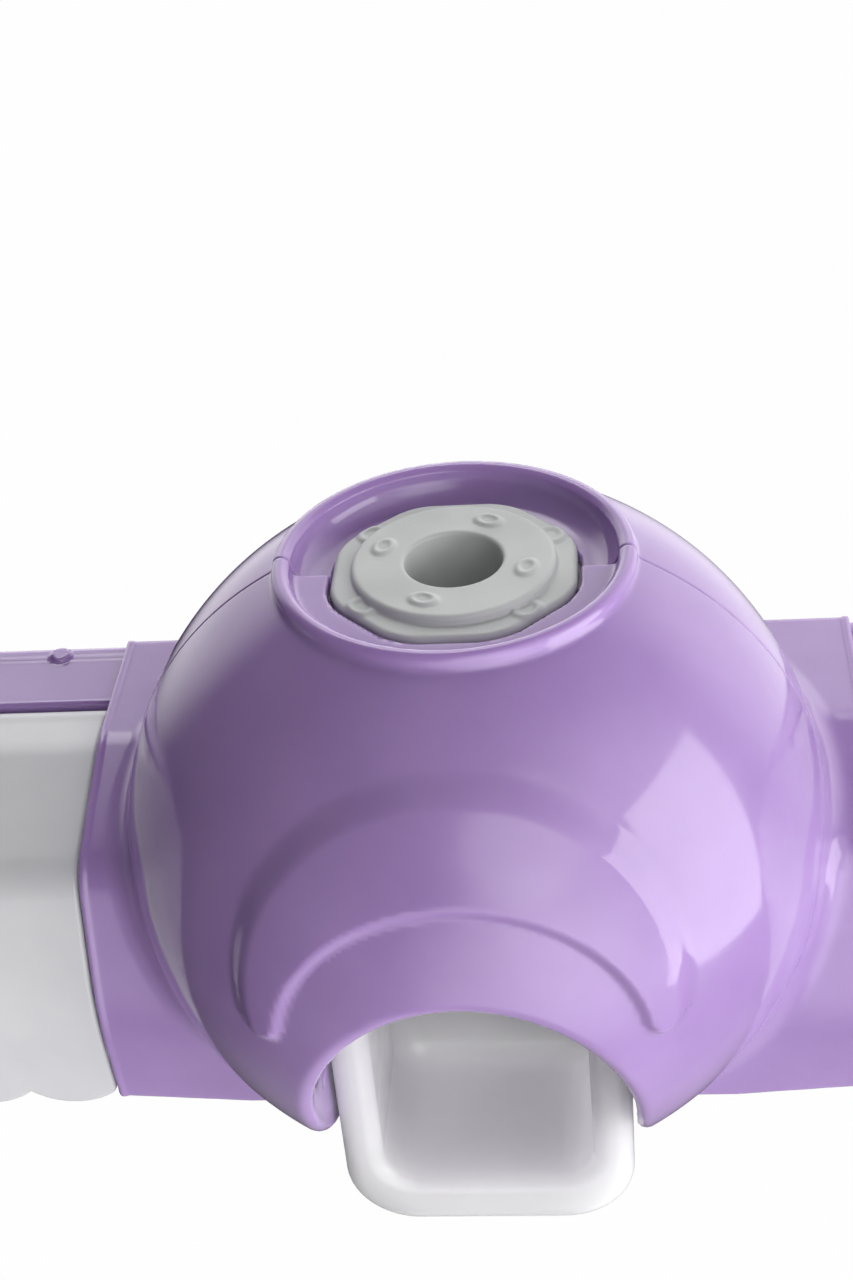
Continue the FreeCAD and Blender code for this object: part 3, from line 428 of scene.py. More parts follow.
# %% Pads for the arm screws
ARM_SCREW_DEPTH, ARM_SCREW_LEVELS = -22.0, (-18.0, -30.0)
ARM_PAD_RADIUS, ARM_PAD_LIFT = 4.0, 2.0


def arm_pads(x, y, z):
    pads = []
    for level in ARM_SCREW_LEVELS:
        inner = BALL - SHELL_WALL
        seat = math.sqrt(inner ** 2 - (ARM_SCREW_DEPTH - PARTING) ** 2 - level ** 2) - ARM_PAD_LIFT
        round_pad = np.hypot(y - ARM_SCREW_DEPTH, z - level)
        pads.append(np.maximum(round_pad - ARM_PAD_RADIUS, seat - np.abs(x)))
    return np.minimum.reduce(pads)


print("pads for the arm screws at heights", ARM_SCREW_LEVELS, "mm")

# %% Rear half
REAR_FLOOR, REAR_COVE = 41.0, 4.2
BACK_WALL, BACK_EDGE, BORE_RIM = 2.5, 1.2, 0.3
SCREW_BORE, SCREW_SEAT = 3.0, 4.0
WALL_SCREW_HALF, WALL_SCREW_HEAD = 24.0, 4.5
CUP_ROOM_END, CUP_ROOM_TOP, CUP_ROOM_RIM = -33.0, -8.0, 0.4


def rear_half(x, y, z):
    inner = np.maximum(from_centre(x, y, z) - (BALL - SHELL_WALL), z - FLOOR_UNDERSIDE)
    inner = np.maximum(inner, y - (BACK - BACK_WALL))
    shell = lip_and_floor(x, y, z, REAR_FLOOR, REAR_COVE, inner)
    within = from_centre(x, y, z) - (BALL - SHELL_WALL / 2)
    shell = np.minimum(shell, np.maximum(posts(x, z, POST_RADIUS), within))
    shell = np.minimum(shell, np.maximum(arm_pads(x, y, z), within))
    shell = round_cut(shell, y - BACK, BACK_EDGE)
    shell = round_cut(shell, FOOT - z, FOOT_ROLL)
    bores = np.maximum(posts(x, z, SCREW_BORE), PARTING + SCREW_SEAT - y)
    heads = np.hypot(np.abs(x) - WALL_SCREW_HALF, z) - WALL_SCREW_HEAD
    heads = np.maximum(heads, BACK - 2 * BACK_WALL - y)
    shell = round_cut(shell, -np.minimum(bores, heads), BORE_RIM)
    cup_room = np.maximum(np.maximum(np.abs(x) - MOUTH_HALF, y - CUP_ROOM_END), z - CUP_ROOM_TOP)
    shell = round_cut(shell, -cup_room, CUP_ROOM_RIM)
    return round_cut(shell, PARTING + PARTING_GAP - y, PARTING_EDGE)


rear_shell, = moulding("rear_shell_moulding", rear_half, (
    grid_x, ticks(parting_low, BACK + BACK_MARGIN, SHELL_STEP, parting_zone), grid_z))

# %% [markdown]
# ## The neck seal
# The seal is a soft grey rubber plug. An eight-sided foot sits in the floor's cut-out, and a
# round disc lies on it with a bore in its middle. Four oval pips with sunken middles stand on the
# disc and four half-moons on the foot. They are less than half a millimetre high, yet they catch
# the light, so they are real height on the mesh and not a bump in the material.

# %% Pips and half-moons
PIP_CIRCLE, PIP_LONG, PIP_WIDE, PIP_RISE = 10.2, 2.1, 1.5, 0.38
PIP_SLOPE, PIP_DIP, PIP_DIP_EDGE = 0.45, 0.7, 0.72
PIP_TURN_SHARES = (0.955, 0.18, 0.445, 0.695)
MOON_CIRCLE, MOON_LONG, MOON_WIDE, MOON_RISE = 14.6, 2.2, 2.0, 0.35
MOON_SLOPE, MOON_DIP, MOON_DIP_EDGE = 0.4, 0.8, 0.75
MOON_TURN_SHARES = (0.603, 0.869, 0.08, 0.397)
OVAL_EDGE, DIP_SLOPE = 1.2, 0.4


def ovals(x, y, turn_shares, circle, long_half, wide_half):
    """How far the nearest oval is, as a share of its own size: 1 on its outline."""
    found = []
    for share in turn_shares:
        turn = share * math.tau
        east, north = x - circle * math.cos(turn), y - PARTING - circle * math.sin(turn)
        out = east * math.cos(turn) + north * math.sin(turn)
        along = north * math.cos(turn) - east * math.sin(turn)
        found.append(np.hypot(out / wide_half, along / long_half))
    return np.minimum.reduce(found)


def sunken_oval(share, edge_slope, dip, dip_edge):
    """A low mound with a sunken middle."""
    return ease((OVAL_EDGE - share) / edge_slope) - dip * ease((dip_edge - share) / DIP_SLOPE)


def pip_height(x, y):
    share = ovals(x, y, PIP_TURN_SHARES, PIP_CIRCLE, PIP_LONG, PIP_WIDE)
    return PIP_RISE * sunken_oval(share, PIP_SLOPE, PIP_DIP, PIP_DIP_EDGE)


def moon_height(x, y):
    share = ovals(x, y, MOON_TURN_SHARES, MOON_CIRCLE, MOON_LONG, MOON_WIDE)
    return MOON_RISE * sunken_oval(share, MOON_SLOPE, MOON_DIP, MOON_DIP_EDGE)


print("pips:", len(PIP_TURN_SHARES), "half-moons:", len(MOON_TURN_SHARES))

# %% Neck seal
seal_low, seal_high = box_mm("neck_seal")
PIP_ROOM, DISC_STEP, FOOT_DIP = 0.55, 1.3, 0.2
SEAL_TOP = seal_high[2] - PIP_ROOM
SEAL_FOOT_TOP, SEAL_FOOT_BOTTOM = SEAL_TOP - DISC_STEP, FLOOR_UNDERSIDE - FOOT_DIP
SEAL_DISC, SEAL_BORE, SEAL_SPIGOT = 13.8, 6.6, 8.5
SEAL_EDGE, SEAL_FOOT_EDGE, SEAL_UNDER_EDGE = 0.7, 0.8, 0.3
BORE_EDGE, DISC_FILLET = 0.5, 0.25
OVERLAP = 1.0  # how far a form runs into the one that it joins


def neck_seal_form(x, y, z):
    ring = np.hypot(x, y - PARTING)
    foot_top = z - SEAL_FOOT_TOP - moon_height(x, y)
    foot = round_cut(octagon(x, y, SEAL_HALF, SEAL_CORNER), foot_top, SEAL_FOOT_EDGE)
    foot = round_cut(foot, SEAL_FOOT_BOTTOM - z, SEAL_UNDER_EDGE)
    disc = round_cut(ring - SEAL_DISC, z - SEAL_TOP - pip_height(x, y), SEAL_EDGE)
    disc = np.maximum(disc, SEAL_FOOT_BOTTOM - z)
    spigot = np.maximum(ring - SEAL_SPIGOT, slab(z, seal_low[2], SEAL_FOOT_BOTTOM + OVERLAP))
    plug = np.minimum(round_join(foot, disc, DISC_FILLET), spigot)
    return round_cut(plug, SEAL_BORE - ring, BORE_EDGE)


SEAL_STEP, PIP_STEP, PIP_ZONE = 0.3, 0.2, 42.6
SEAL_MARGIN, SPIGOT_MARGIN, PIP_MARGIN = 0.8, 0.6, 0.5
seal_grid_top = seal_high[2] + PIP_MARGIN
neck_seal, = moulding("neck_seal_rubber", neck_seal_form, (
    ticks(-SEAL_HALF - SEAL_MARGIN, SEAL_HALF + SEAL_MARGIN, SEAL_STEP),
    ticks(PARTING - SEAL_HALF - SEAL_MARGIN, PARTING + SEAL_HALF + SEAL_MARGIN, SEAL_STEP),
    ticks(seal_low[2] - SPIGOT_MARGIN, seal_grid_top, SEAL_STEP, (PIP_ZONE, seal_grid_top, PIP_STEP)),
))

# %% [markdown]
# ## The push cup
# The cup is a thick white scoop. Its outer lower corners are wide arcs, its rim is fat and soft,
# and the recess behind the rim has generous coves so that it can be wiped clean. All of that is
# one rounded block with another rounded block taken out of it.

# %% Push cup
cup_low, cup_high = box_mm("push_cup")
CUP_RIM, CUP_SILL, CUP_BACK_WALL = 5.8, 8.8, 2.0
CUP_ROUND, RECESS_ROUND, RECESS_COVE = 10.5, 5.0, 4.0
CUP_FRONT_EDGE, CUP_RIM_EDGE, CUP_REAR_EDGE = 2.6, 2.2, 0.8
CUP_STEP, CUP_MARGIN = 0.5, 0.8


def push_cup_form(x, y, z):
    outline = rounded_slot(x, z, cup_high[0], cup_low[2], CUP_ROUND)
    outer = round_cut(outline, cup_low[1] - y, CUP_FRONT_EDGE)
    outer = round_cut(outer, y - cup_high[1], CUP_REAR_EDGE)
    outer = round_cut(outer, z - cup_high[2], CUP_REAR_EDGE)
    recess = rounded_slot(x, z, cup_high[0] - CUP_RIM, cup_low[2] + CUP_SILL, RECESS_ROUND)
    recess = round_cut(recess, y - (cup_high[1] - CUP_BACK_WALL), RECESS_COVE)
    return round_cut(outer, -recess, CUP_RIM_EDGE)


push_cup, = moulding("push_cup_moulding", push_cup_form, [
    ticks(cup_low[axis] - CUP_MARGIN, cup_high[axis] + CUP_MARGIN, CUP_STEP) for axis in range(3)])

# %% [markdown]
# ## The arms
# Each arm is a second lavender moulding that is screwed to the ball. A collar hugs the ball with
# a hollow fillet, ends in a flange with a fine bead, and carries a back, a top strip and three
# hinge ears. The section is drawn once as an outline with a radius at each corner. A helper turns
# the corners into arcs and another measures the distance to that outline.

# %% Outlines with rounded corners
ARC_STEPS = 10


def rounded_outline(corners):
    """Points of a closed outline from (y, z, radius) corners."""
    points = []
    count = len(corners)
    for k, (y, z, radius) in enumerate(corners):
        here = np.array([y, z])
        before = np.array(corners[k - 1][:2]) - here
        after = np.array(corners[(k + 1) % count][:2]) - here
        before, after = before / np.linalg.norm(before), after / np.linalg.norm(after)
        if radius == 0:
            points.append(here)
            continue
        half = math.acos(np.clip(before @ after, -1, 1)) / 2
        middle = (before + after) / np.linalg.norm(before + after)
        centre = here + middle * radius / math.sin(half)
        start = here + before * radius / math.tan(half) - centre
        stop = here + after * radius / math.tan(half) - centre
        sweep = math.acos(np.clip(start @ stop / radius ** 2, -1, 1))
        for step in range(ARC_STEPS + 1):
            share = step / ARC_STEPS
            spot = math.sin((1 - share) * sweep) * start + math.sin(share * sweep) * stop
            points.append(centre + spot / math.sin(sweep))
    return np.array(points)


square = rounded_outline([(0, 0, 1), (4, 0, 1), (4, 4, 1), (0, 4, 1)])
print("points on a square with four rounded corners:", len(square))

# %% Distance to an outline
FAR = 1e9


def outline_distance(outline, y, z):
    """Signed distance to a closed outline in the side view."""
    y, z = np.broadcast_arrays(y, z)
    nearest = np.full(y.shape, FAR)
    sign = np.ones(y.shape)
    for (y0, z0), (y1, z1) in zip(outline, np.roll(outline, 1, axis=0)):
        run_y, run_z = y1 - y0, z1 - z0
        off_y, off_z = y - y0, z - z0
        share = np.clip((off_y * run_y + off_z * run_z) / (run_y ** 2 + run_z ** 2), 0, 1)
        nearest = np.minimum(nearest, (off_y - run_y * share) ** 2 + (off_z - run_z * share) ** 2)
        above, below = z >= z0, z < z1
        left = run_y * off_z > run_z * off_y
        turn = (above & below & left) | (~above & ~below & ~left)
        sign = np.where(turn, -sign, sign)
    return sign * np.sqrt(nearest)


print("from the middle of that square to its edge:", float(outline_distance(square, 2.0, 2.0)))

# %% Arm section
arm_high = box_mm("right_arm_frame")[1]
cap_low, cap_high = box_mm("right_end_cap")
cover_low, cover_high = box_mm("right_cover")
ARM_TOP, ARM_BOTTOM = cap_high[2], cap_low[2]
COVER_GAP = 0.5
ARM_INNER = cover_low[0] - COVER_GAP
BROW_BACK, BROW_FRONT, BELLY_FRONT, FOOT_FRONT = -28.5, -51.8, -57.4, -55.2
BROW_DROP, BELLY_LEVEL = 6.5, -22.0
TOP_ROUND, BROW_ROUND, BELLY_ROUND, BACK_ROUND, FOOT_ROUND = 12.0, 7.0, 40.0, 1.0, 1.2
ARM_SECTION = rounded_outline([
    (BACK, ARM_BOTTOM, BACK_ROUND), (BACK, ARM_TOP, BACK_ROUND),
    (BROW_BACK, ARM_TOP, TOP_ROUND), (BROW_FRONT, ARM_TOP - BROW_DROP, BROW_ROUND),
    (BELLY_FRONT, BELLY_LEVEL, BELLY_ROUND), (FOOT_FRONT, ARM_BOTTOM, FOOT_ROUND),
])
section_low, section_high = ARM_SECTION.min(axis=0), ARM_SECTION.max(axis=0)
print("arm section from", section_low.round(1), "to", section_high.round(1), "mm")

# %% [markdown]
# The collar's fillet ends in a feather edge on the ball. A feather edge that stops exactly on
# another surface flickers, so it dips just below the ball's skin instead: the collar joins a
# slightly smaller ball, and an even smaller one is taken out again.

# %% Collar
COLLAR_FILLET, COLLAR_SKIN, COLLAR_ROOT = 4.0, 0.12, 0.8
COLLAR_START, COLLAR_REACH = 30.0, 4.0
COLLAR_FLARE, FLARE_RUN, FLARE_TOP, FLARE_FADE = 1.6, 20.0, -15.0, 20.0
BEAD_WIDE, BEAD_RISE, BEAD_EDGE, BEAD_FILLET = 1.1, 0.2, 0.4, 0.3
ARM_EDGE = 0.6


def collar_form(x, y, z):
    flare = np.clip((ARM_INNER - x) / FLARE_RUN, 0, 1) * ease((FLARE_TOP - z) / FLARE_FADE)
    section = outline_distance(ARM_SECTION, y, z + COLLAR_FLARE * flare)
    collar = round_cut(section, x - ARM_INNER, ARM_EDGE)
    bead = round_cut(section - BEAD_RISE, slab(x, ARM_INNER - BEAD_WIDE, ARM_INNER), BEAD_EDGE)
    collar = round_join(collar, bead, BEAD_FILLET)
    from_ball = from_centre(x, y, z)
    collar = round_join(collar, from_ball - (BALL - COLLAR_SKIN), COLLAR_FILLET)
    collar = np.maximum(collar, BALL - COLLAR_ROOT - from_ball)
    collar = np.maximum(collar, np.maximum(section - COLLAR_REACH, COLLAR_START - x))
    collar = np.maximum(collar, x - ARM_INNER)
    return round_cut(collar, y - BACK, ARM_EDGE)


print(f"the collar ends {ARM_INNER:.1f} mm from the middle")

# %% Hinge ears
STRIP_FRONT, STRIP_STEP, ARM_WALL = -17.5, 1.6, 2.5
HINGE_Y, HINGE_DROP = -20.5, 4.3
STRIP_TOP, HINGE_Z = ARM_TOP - STRIP_STEP, ARM_TOP - HINGE_DROP
EAR_RADIUS, EAR_WIDE, EAR_EDGE = 2.3, 3.5, 0.4
EAR_INSET = 20.0
EAR_MIDDLES = (ARM_INNER + EAR_INSET + EAR_WIDE / 2, (cover_low[0] + cover_high[0]) / 2,
               arm_high[0] - EAR_INSET - EAR_WIDE / 2)


def ears(x, y, z):
    span = np.minimum.reduce([np.abs(x - middle) - EAR_WIDE / 2 for middle in EAR_MIDDLES])
    eye = np.hypot(y - HINGE_Y, z - HINGE_Z) - EAR_RADIUS
    root = np.maximum(slab(y, HINGE_Y, STRIP_FRONT + ARM_WALL),
                      slab(z, HINGE_Z - EAR_RADIUS, STRIP_TOP - ARM_WALL / 2))
    return round_cut(np.minimum(eye, root), span, EAR_EDGE)


print("hinge ears at", [round(float(middle), 1) for middle in EAR_MIDDLES], "mm")

# %% Arm frame
NUB_PLACE, NUB_RADIUS, NUB_RISE, NUB_FILLET = (67.5, -5.0), 1.6, 0.8, 0.5
RAIL_FILLET = 1.0


def arm_frame(x, y, z):
    wing = slab(x, ARM_INNER - OVERLAP, arm_high[0])
    strip = round_cut(slab(y, STRIP_FRONT, BACK), slab(z, STRIP_TOP - ARM_WALL, STRIP_TOP), ARM_EDGE)
    back = round_cut(slab(y, BACK - ARM_WALL, BACK), slab(z, ARM_BOTTOM, STRIP_TOP), ARM_EDGE)
    nub = np.hypot(x - NUB_PLACE[0], y - NUB_PLACE[1]) - NUB_RADIUS
    nub = np.maximum(nub, slab(z, STRIP_TOP - OVERLAP, STRIP_TOP + NUB_RISE))
    rail = np.maximum(round_join(round_join(strip, back, RAIL_FILLET), nub, NUB_FILLET), wing)
    return np.minimum(np.minimum(collar_form(x, y, z), rail), ears(x, y, z))


RAIL_STEP, ARM_STEP, EAR_STEP, BEAD_STEP = 1.2, 0.6, 0.5, 0.3
START_MARGIN, END_MARGIN, COLLAR_MARGIN = 1.0, 0.8, 5.0
BEFORE_BEAD, AFTER_BEAD, NUB_REACH = 2.0, 1.0, 3.0
arm_start, bead_start = COLLAR_START - START_MARGIN, ARM_INNER - BEFORE_BEAD
fine_zones = [(arm_start, bead_start, ARM_STEP), (bead_start, ARM_INNER + AFTER_BEAD, BEAD_STEP),
              (NUB_PLACE[0] - NUB_REACH, NUB_PLACE[0] + NUB_REACH, EAR_STEP)]
fine_zones += [(middle - EAR_WIDE, middle + EAR_WIDE, EAR_STEP) for middle in EAR_MIDDLES]
arm_pieces = moulding("right_arm_moulding", arm_frame, (
    ticks(arm_start, arm_high[0] + END_MARGIN, RAIL_STEP, *fine_zones),
    ticks(section_low[0] - COLLAR_MARGIN, BACK + BACK_MARGIN, ARM_STEP),
    ticks(ARM_BOTTOM - COLLAR_MARGIN, ARM_TOP + COLLAR_MARGIN, ARM_STEP),
), mirror_name="left_arm_moulding")

# %% [markdown]
# ## End caps
# A cap closes the outer end of each arm. It is the same section, three millimetres thick, with
# its outer edge rounded.

# %% End caps
CAP_EDGE, CAP_SEAM, CAP_STEP = 1.4, 0.2, 0.3
CAP_MARGIN, SECTION_MARGIN = 0.6, 1.0


def end_cap(x, y, z):
    section = outline_distance(ARM_SECTION, y, z)
    cap = round_cut(section, x - cap_high[0], CAP_EDGE)
    return round_cut(cap, cap_low[0] - x, CAP_SEAM)


cap_pieces = moulding("right_end_cap_moulding", end_cap, (
    ticks(cap_low[0] - CAP_MARGIN, cap_high[0] + CAP_MARGIN, CAP_STEP),
    ticks(section_low[0] - SECTION_MARGIN, BACK + SECTION_MARGIN, ARM_STEP),
    ticks(ARM_BOTTOM - SECTION_MARGIN, ARM_TOP + SECTION_MARGIN, ARM_STEP),
), mirror_name="left_end_cap_moulding")

# %% [markdown]
# ## The covers
# A cover is a thin white sheet, bent over the brow and hung from a row of hinge knuckles between
# the arm's ears. Its lower edge is a row of six shallow lobes. Folding the width coordinate back
# onto one lobe with a remainder gives the whole row from one disc.

# %% Cover section and lobes
LOBES, LOBE_DROP = 6, 2.6
LOBE_PITCH = (cover_high[0] - cover_low[0]) / LOBES
LOBE_RADIUS = (LOBE_PITCH ** 2 / 4 + LOBE_DROP ** 2) / (2 * LOBE_DROP)
COVER_WALL, COVER_INSET = 2.0, 0.8
KNUCKLE_RADIUS = 2.6
COVER_TOP = HINGE_Z + KNUCKLE_RADIUS


def cover_side(wall):
    """The sheet's outer side, or its inner side one wall further in, from hinge to foot."""
    return [
        (HINGE_Y, COVER_TOP - wall, 0), (BROW_BACK, COVER_TOP - wall, TOP_ROUND - wall),
        (BROW_FRONT + COVER_INSET + wall, COVER_TOP - BROW_DROP - wall, BROW_ROUND - wall),
        (BELLY_FRONT + COVER_INSET + wall, BELLY_LEVEL, BELLY_ROUND - wall),
        (FOOT_FRONT + COVER_INSET + wall, cover_low[2] - OVERLAP, 0),
    ]


COVER_SECTION = rounded_outline(cover_side(0) + cover_side(COVER_WALL)[::-1])
print(f"each lobe is {LOBE_PITCH:.1f} mm wide with a radius of {LOBE_RADIUS:.1f} mm")

# %% Covers
COVER_EDGE, KNUCKLE_EDGE, KNUCKLE_FILLET = 0.7, 0.4, 0.6
KNUCKLE_GAP, NOTCH_REACH = 0.4, 3.6


def cover_form(x, y, z):
    sheet = outline_distance(COVER_SECTION, y, z)
    sheet = round_cut(sheet, slab(x, cover_low[0], cover_high[0]), COVER_EDGE)
    along = np.mod(x - cover_low[0], LOBE_PITCH) - LOBE_PITCH / 2
    lobe = np.hypot(along, np.minimum(z - (cover_low[2] + LOBE_RADIUS), 0)) - LOBE_RADIUS
    sheet = round_cut(sheet, lobe, COVER_EDGE)
    near_ear = np.minimum.reduce([
        np.abs(x - middle) - EAR_WIDE / 2 - KNUCKLE_GAP for middle in EAR_MIDDLES])
    notch = np.maximum(near_ear, HINGE_Y - NOTCH_REACH - y)
    sheet = round_cut(sheet, -notch, KNUCKLE_EDGE)
    knuckle = np.hypot(y - HINGE_Y, z - HINGE_Z) - KNUCKLE_RADIUS
    knuckle = round_cut(knuckle, -near_ear, KNUCKLE_EDGE)
    knuckle = np.maximum(knuckle, slab(x, cover_low[0], cover_high[0]))
    return round_join(sheet, knuckle, KNUCKLE_FILLET)


COVER_LONG_STEP, COVER_STEP = 0.55, 0.5
COVER_MARGIN, SHEET_MARGIN = 0.6, 0.8
cover_pieces = moulding("right_cover_moulding", cover_form, (
    ticks(cover_low[0] - COVER_MARGIN, cover_high[0] + COVER_MARGIN, COVER_LONG_STEP),
    ticks(cover_low[1] - SHEET_MARGIN, HINGE_Y + KNUCKLE_RADIUS + COVER_MARGIN, COVER_STEP),
    ticks(cover_low[2] - SHEET_MARGIN, COVER_TOP + COVER_MARGIN, COVER_STEP),
), mirror_name="left_cover_moulding")

# %% [markdown]
# ## The return spring
# Behind the cup a steel coil pushes it back out. A helix is a line with a formula, so it is a
# curve with a round bevel, turned into a mesh at the end.

# %% Return spring
spring_low, spring_high = box_mm("return_spring")
SPRING_TURNS, SPRING_STEPS, WIRE, WIRE_FINENESS = 4, 32, 0.4, 4
spring_radius = (spring_high[0] - spring_low[0]) / 2 - WIRE
spring_axis_z = (spring_high[2] + spring_low[2]) / 2
coil_start, coil_end = spring_low[1] + WIRE, spring_high[1] - WIRE
coil_line = bpy.data.curves.new("coil_line", "CURVE")
coil_line.dimensions = "3D"
coil_line.bevel_depth = WIRE * MM
coil_line.bevel_resolution = WIRE_FINENESS
coil_line.use_fill_caps = True
coil = coil_line.splines.new("POLY")
coil.points.add(SPRING_TURNS * SPRING_STEPS)
for step, point in enumerate(coil.points):
    share = step / (SPRING_TURNS * SPRING_STEPS)
    turn = share * SPRING_TURNS * math.tau
    spot = Vector((spring_radius * math.cos(turn), coil_start + (coil_end - coil_start) * share,
                   spring_axis_z + spring_radius * math.sin(turn)))
    point.co = (*(spot * MM), 1)
coil_object = bpy.data.objects.new("coil_line", coil_line)
spring_mesh = bpy.data.meshes.new_from_object(coil_object)
bpy.data.objects.remove(coil_object)
return_spring = bpy.data.objects.new("return_spring_wire", spring_mesh)
bpy.context.scene.collection.objects.link(return_spring)
for face in spring_mesh.polygons:
    face.use_smooth = True
print("spring wire faces:", len(spring_mesh.polygons))

# %% [markdown]
# ## The foam pad
# A thin double-sided foam pad sticks the wall plate to the tiles. Foam that has been cut has soft
# edges and corners, so it gets its own small field too.

# %% Foam pad
pad_low, pad_high = box_mm("adhesive_pad")
PAD_CORNER, PAD_EDGE = 3.0, 0.35
PAD_STEP, PAD_THIN_STEP = 0.5, 0.2
PAD_MARGIN, PAD_THIN_MARGIN = 0.6, 0.4


def foam_pad(x, y, z):
    outline = rounded_corner(np.abs(x) - (pad_high[0] - PAD_CORNER),
                             np.abs(z) - (pad_high[2] - PAD_CORNER), PAD_CORNER)
    holes = WALL_SCREW_HEAD - np.hypot(np.abs(x) - WALL_SCREW_HALF, z)
    return round_cut(np.maximum(outline, holes), slab(y, pad_low[1], pad_high[1]), PAD_EDGE)


adhesive_pad, = moulding("adhesive_pad_foam", foam_pad, (
    ticks(pad_low[0] - PAD_MARGIN, pad_high[0] + PAD_MARGIN, PAD_STEP),
    ticks(pad_low[1] - PAD_THIN_MARGIN, pad_high[1] + PAD_THIN_MARGIN, PAD_THIN_STEP),
    ticks(pad_low[2] - PAD_MARGIN, pad_high[2] + PAD_MARGIN, PAD_STEP),
))

# %% [markdown]
# ## Finishes
# Moulded plastic is never one flat colour. The pigment clouds a little, the surface has a fine
# orange peel that breaks up reflections, and handling leaves faint smears that are a touch
# rougher. One function builds such a finish from noise at three scales; each material then sets
# its own colours, gloss and grain. Constant values go straight onto the shader's sockets.

# %% Noise, ramps and bumps
NOISE_LOW, NOISE_HIGH = 0.35, 0.65


def noise(tree, coordinates, scale, detail):
    node = tree.nodes.new("ShaderNodeTexNoise")
    node.inputs["Scale"].default_value = scale
    node.inputs["Detail"].default_value = detail
    tree.links.new(coordinates, node.inputs["Vector"])
    return node.outputs["Fac"]


def ramp(tree, factor, stops):
    node = tree.nodes.new("ShaderNodeValToRGB")
    for element, (place, colour) in zip(node.color_ramp.elements, (stops[0], stops[-1])):
        element.position, element.color = place, (*colour, 1)
    for place, colour in stops[1:-1]:
        node.color_ramp.elements.new(place).color = (*colour, 1)
    tree.links.new(factor, node.inputs["Fac"])
    return node.outputs["Color"]


def spread(tree, factor, low, high):
    node = tree.nodes.new("ShaderNodeMapRange")
    node.inputs["To Min"].default_value = low
    node.inputs["To Max"].default_value = high
    node.inputs["From Min"].default_value = NOISE_LOW
    node.inputs["From Max"].default_value = NOISE_HIGH
    tree.links.new(factor, node.inputs["Value"])
    return node.outputs["Result"]


def bump(tree, height, depth):
    node = tree.nodes.new("ShaderNodeBump")
    node.inputs["Distance"].default_value = depth
    tree.links.new(height, node.inputs["Height"])
    return node.outputs["Normal"]


print("noise between", NOISE_LOW, "and", NOISE_HIGH, "is spread over a finish's range of roughness")

# %% A moulded finish
CLOUD_DETAIL, SMEAR_DETAIL, GRAIN_DETAIL = 4.0, 5.0, 2.0
CLOUD_STOPS = (0.3, 0.5, 0.7)


def finish(name, shades, roughness, cloud=60.0, grain=900.0, grain_depth=4e-6, smear=140.0, **sockets):
    """Clouded colour, smeared gloss and a fine grain."""
    material = bpy.data.materials.new(name)
    material.use_nodes = True
    tree = material.node_tree
    shader = tree.nodes["Principled BSDF"]
    place = tree.nodes.new("ShaderNodeTexCoord").outputs["Object"]
    middle = [sum(pair) / 2 for pair in zip(*shades)]
    clouds = noise(tree, place, cloud, CLOUD_DETAIL)
    colour = ramp(tree, clouds, list(zip(CLOUD_STOPS, (shades[0], middle, shades[1]))))
    tree.links.new(colour, shader.inputs["Base Color"])
    smears = noise(tree, place, smear, SMEAR_DETAIL)
    tree.links.new(spread(tree, smears, *roughness), shader.inputs["Roughness"])
    grains = noise(tree, place, grain, GRAIN_DETAIL)
    tree.links.new(bump(tree, grains, grain_depth), shader.inputs["Normal"])
    for socket, value in sockets.items():
        shader.inputs[socket.replace("_", " ")].default_value = value
    return material


print("a finish has three scales: clouds, smears and grain")

# %% [markdown]
# The lavender is a glossy plastic with a little light passing through it, which softens its thin
# edges. The cup's white lets much more light through: its recess would look grey otherwise. The
# covers are a duller white, and the seal is a matt rubber with a deeper grain. Scattering inside
# a material is what the subsurface sockets are for; their scale is a length in metres.

# %% Finishes of the outer parts
lavender = finish(
    "lavender_plastic", ((0.33, 0.212, 0.465), (0.375, 0.248, 0.515)), (0.07, 0.12), IOR=1.54,
    Subsurface_Weight=0.35, Subsurface_Radius=(1, 0.7, 1), Subsurface_Scale=0.004)
cup_white = finish(
    "cup_white_plastic", ((0.65, 0.64, 0.67), (0.69, 0.68, 0.71)), (0.14, 0.22), IOR=1.5,
    Subsurface_Weight=1.0, Subsurface_Radius=(1, 1, 1), Subsurface_Scale=0.03)
cover_white = finish(
    "cover_white_plastic", ((0.60, 0.60, 0.63), (0.66, 0.66, 0.68)), (0.32, 0.42), IOR=1.48,
    grain=1500.0, grain_depth=8e-6)
seal_rubber = finish(
    "seal_grey_rubber", ((0.48, 0.49, 0.49), (0.56, 0.57, 0.565)), (0.45, 0.6), IOR=1.45,
    grain=1300.0, grain_depth=1.5e-5)
print("outer finishes:", [m.name for m in (lavender, cup_white, cover_white, seal_rubber)])

# %% [markdown]
# The parts inside are plainer: milky pump plastic, zinc-plated steel, black rubber rings and a
# pale foam. They show only from below, from behind or with a cover open, but they still get their
# own grain and gloss.

# %% Finishes of the inner parts
pump_plastic = finish(
    "pump_milky_plastic", ((0.62, 0.63, 0.64), (0.70, 0.71, 0.71)), (0.28, 0.4), IOR=1.5)
steel = finish(
    "zinc_steel", ((0.50, 0.50, 0.51), (0.62, 0.62, 0.62)), (0.22, 0.36), Metallic=1.0, grain=2200.0)
dark_rubber = finish(
    "black_rubber", ((0.02, 0.02, 0.022), (0.035, 0.035, 0.036)), (0.5, 0.65), grain_depth=1e-5)
foam = finish(
    "pale_foam", ((0.62, 0.60, 0.55), (0.74, 0.72, 0.67)), (0.8, 0.95), cloud=500.0, grain=1600.0,
    grain_depth=1.2e-4)
print("inner finishes:", [m.name for m in (pump_plastic, steel, dark_rubber, foam)])
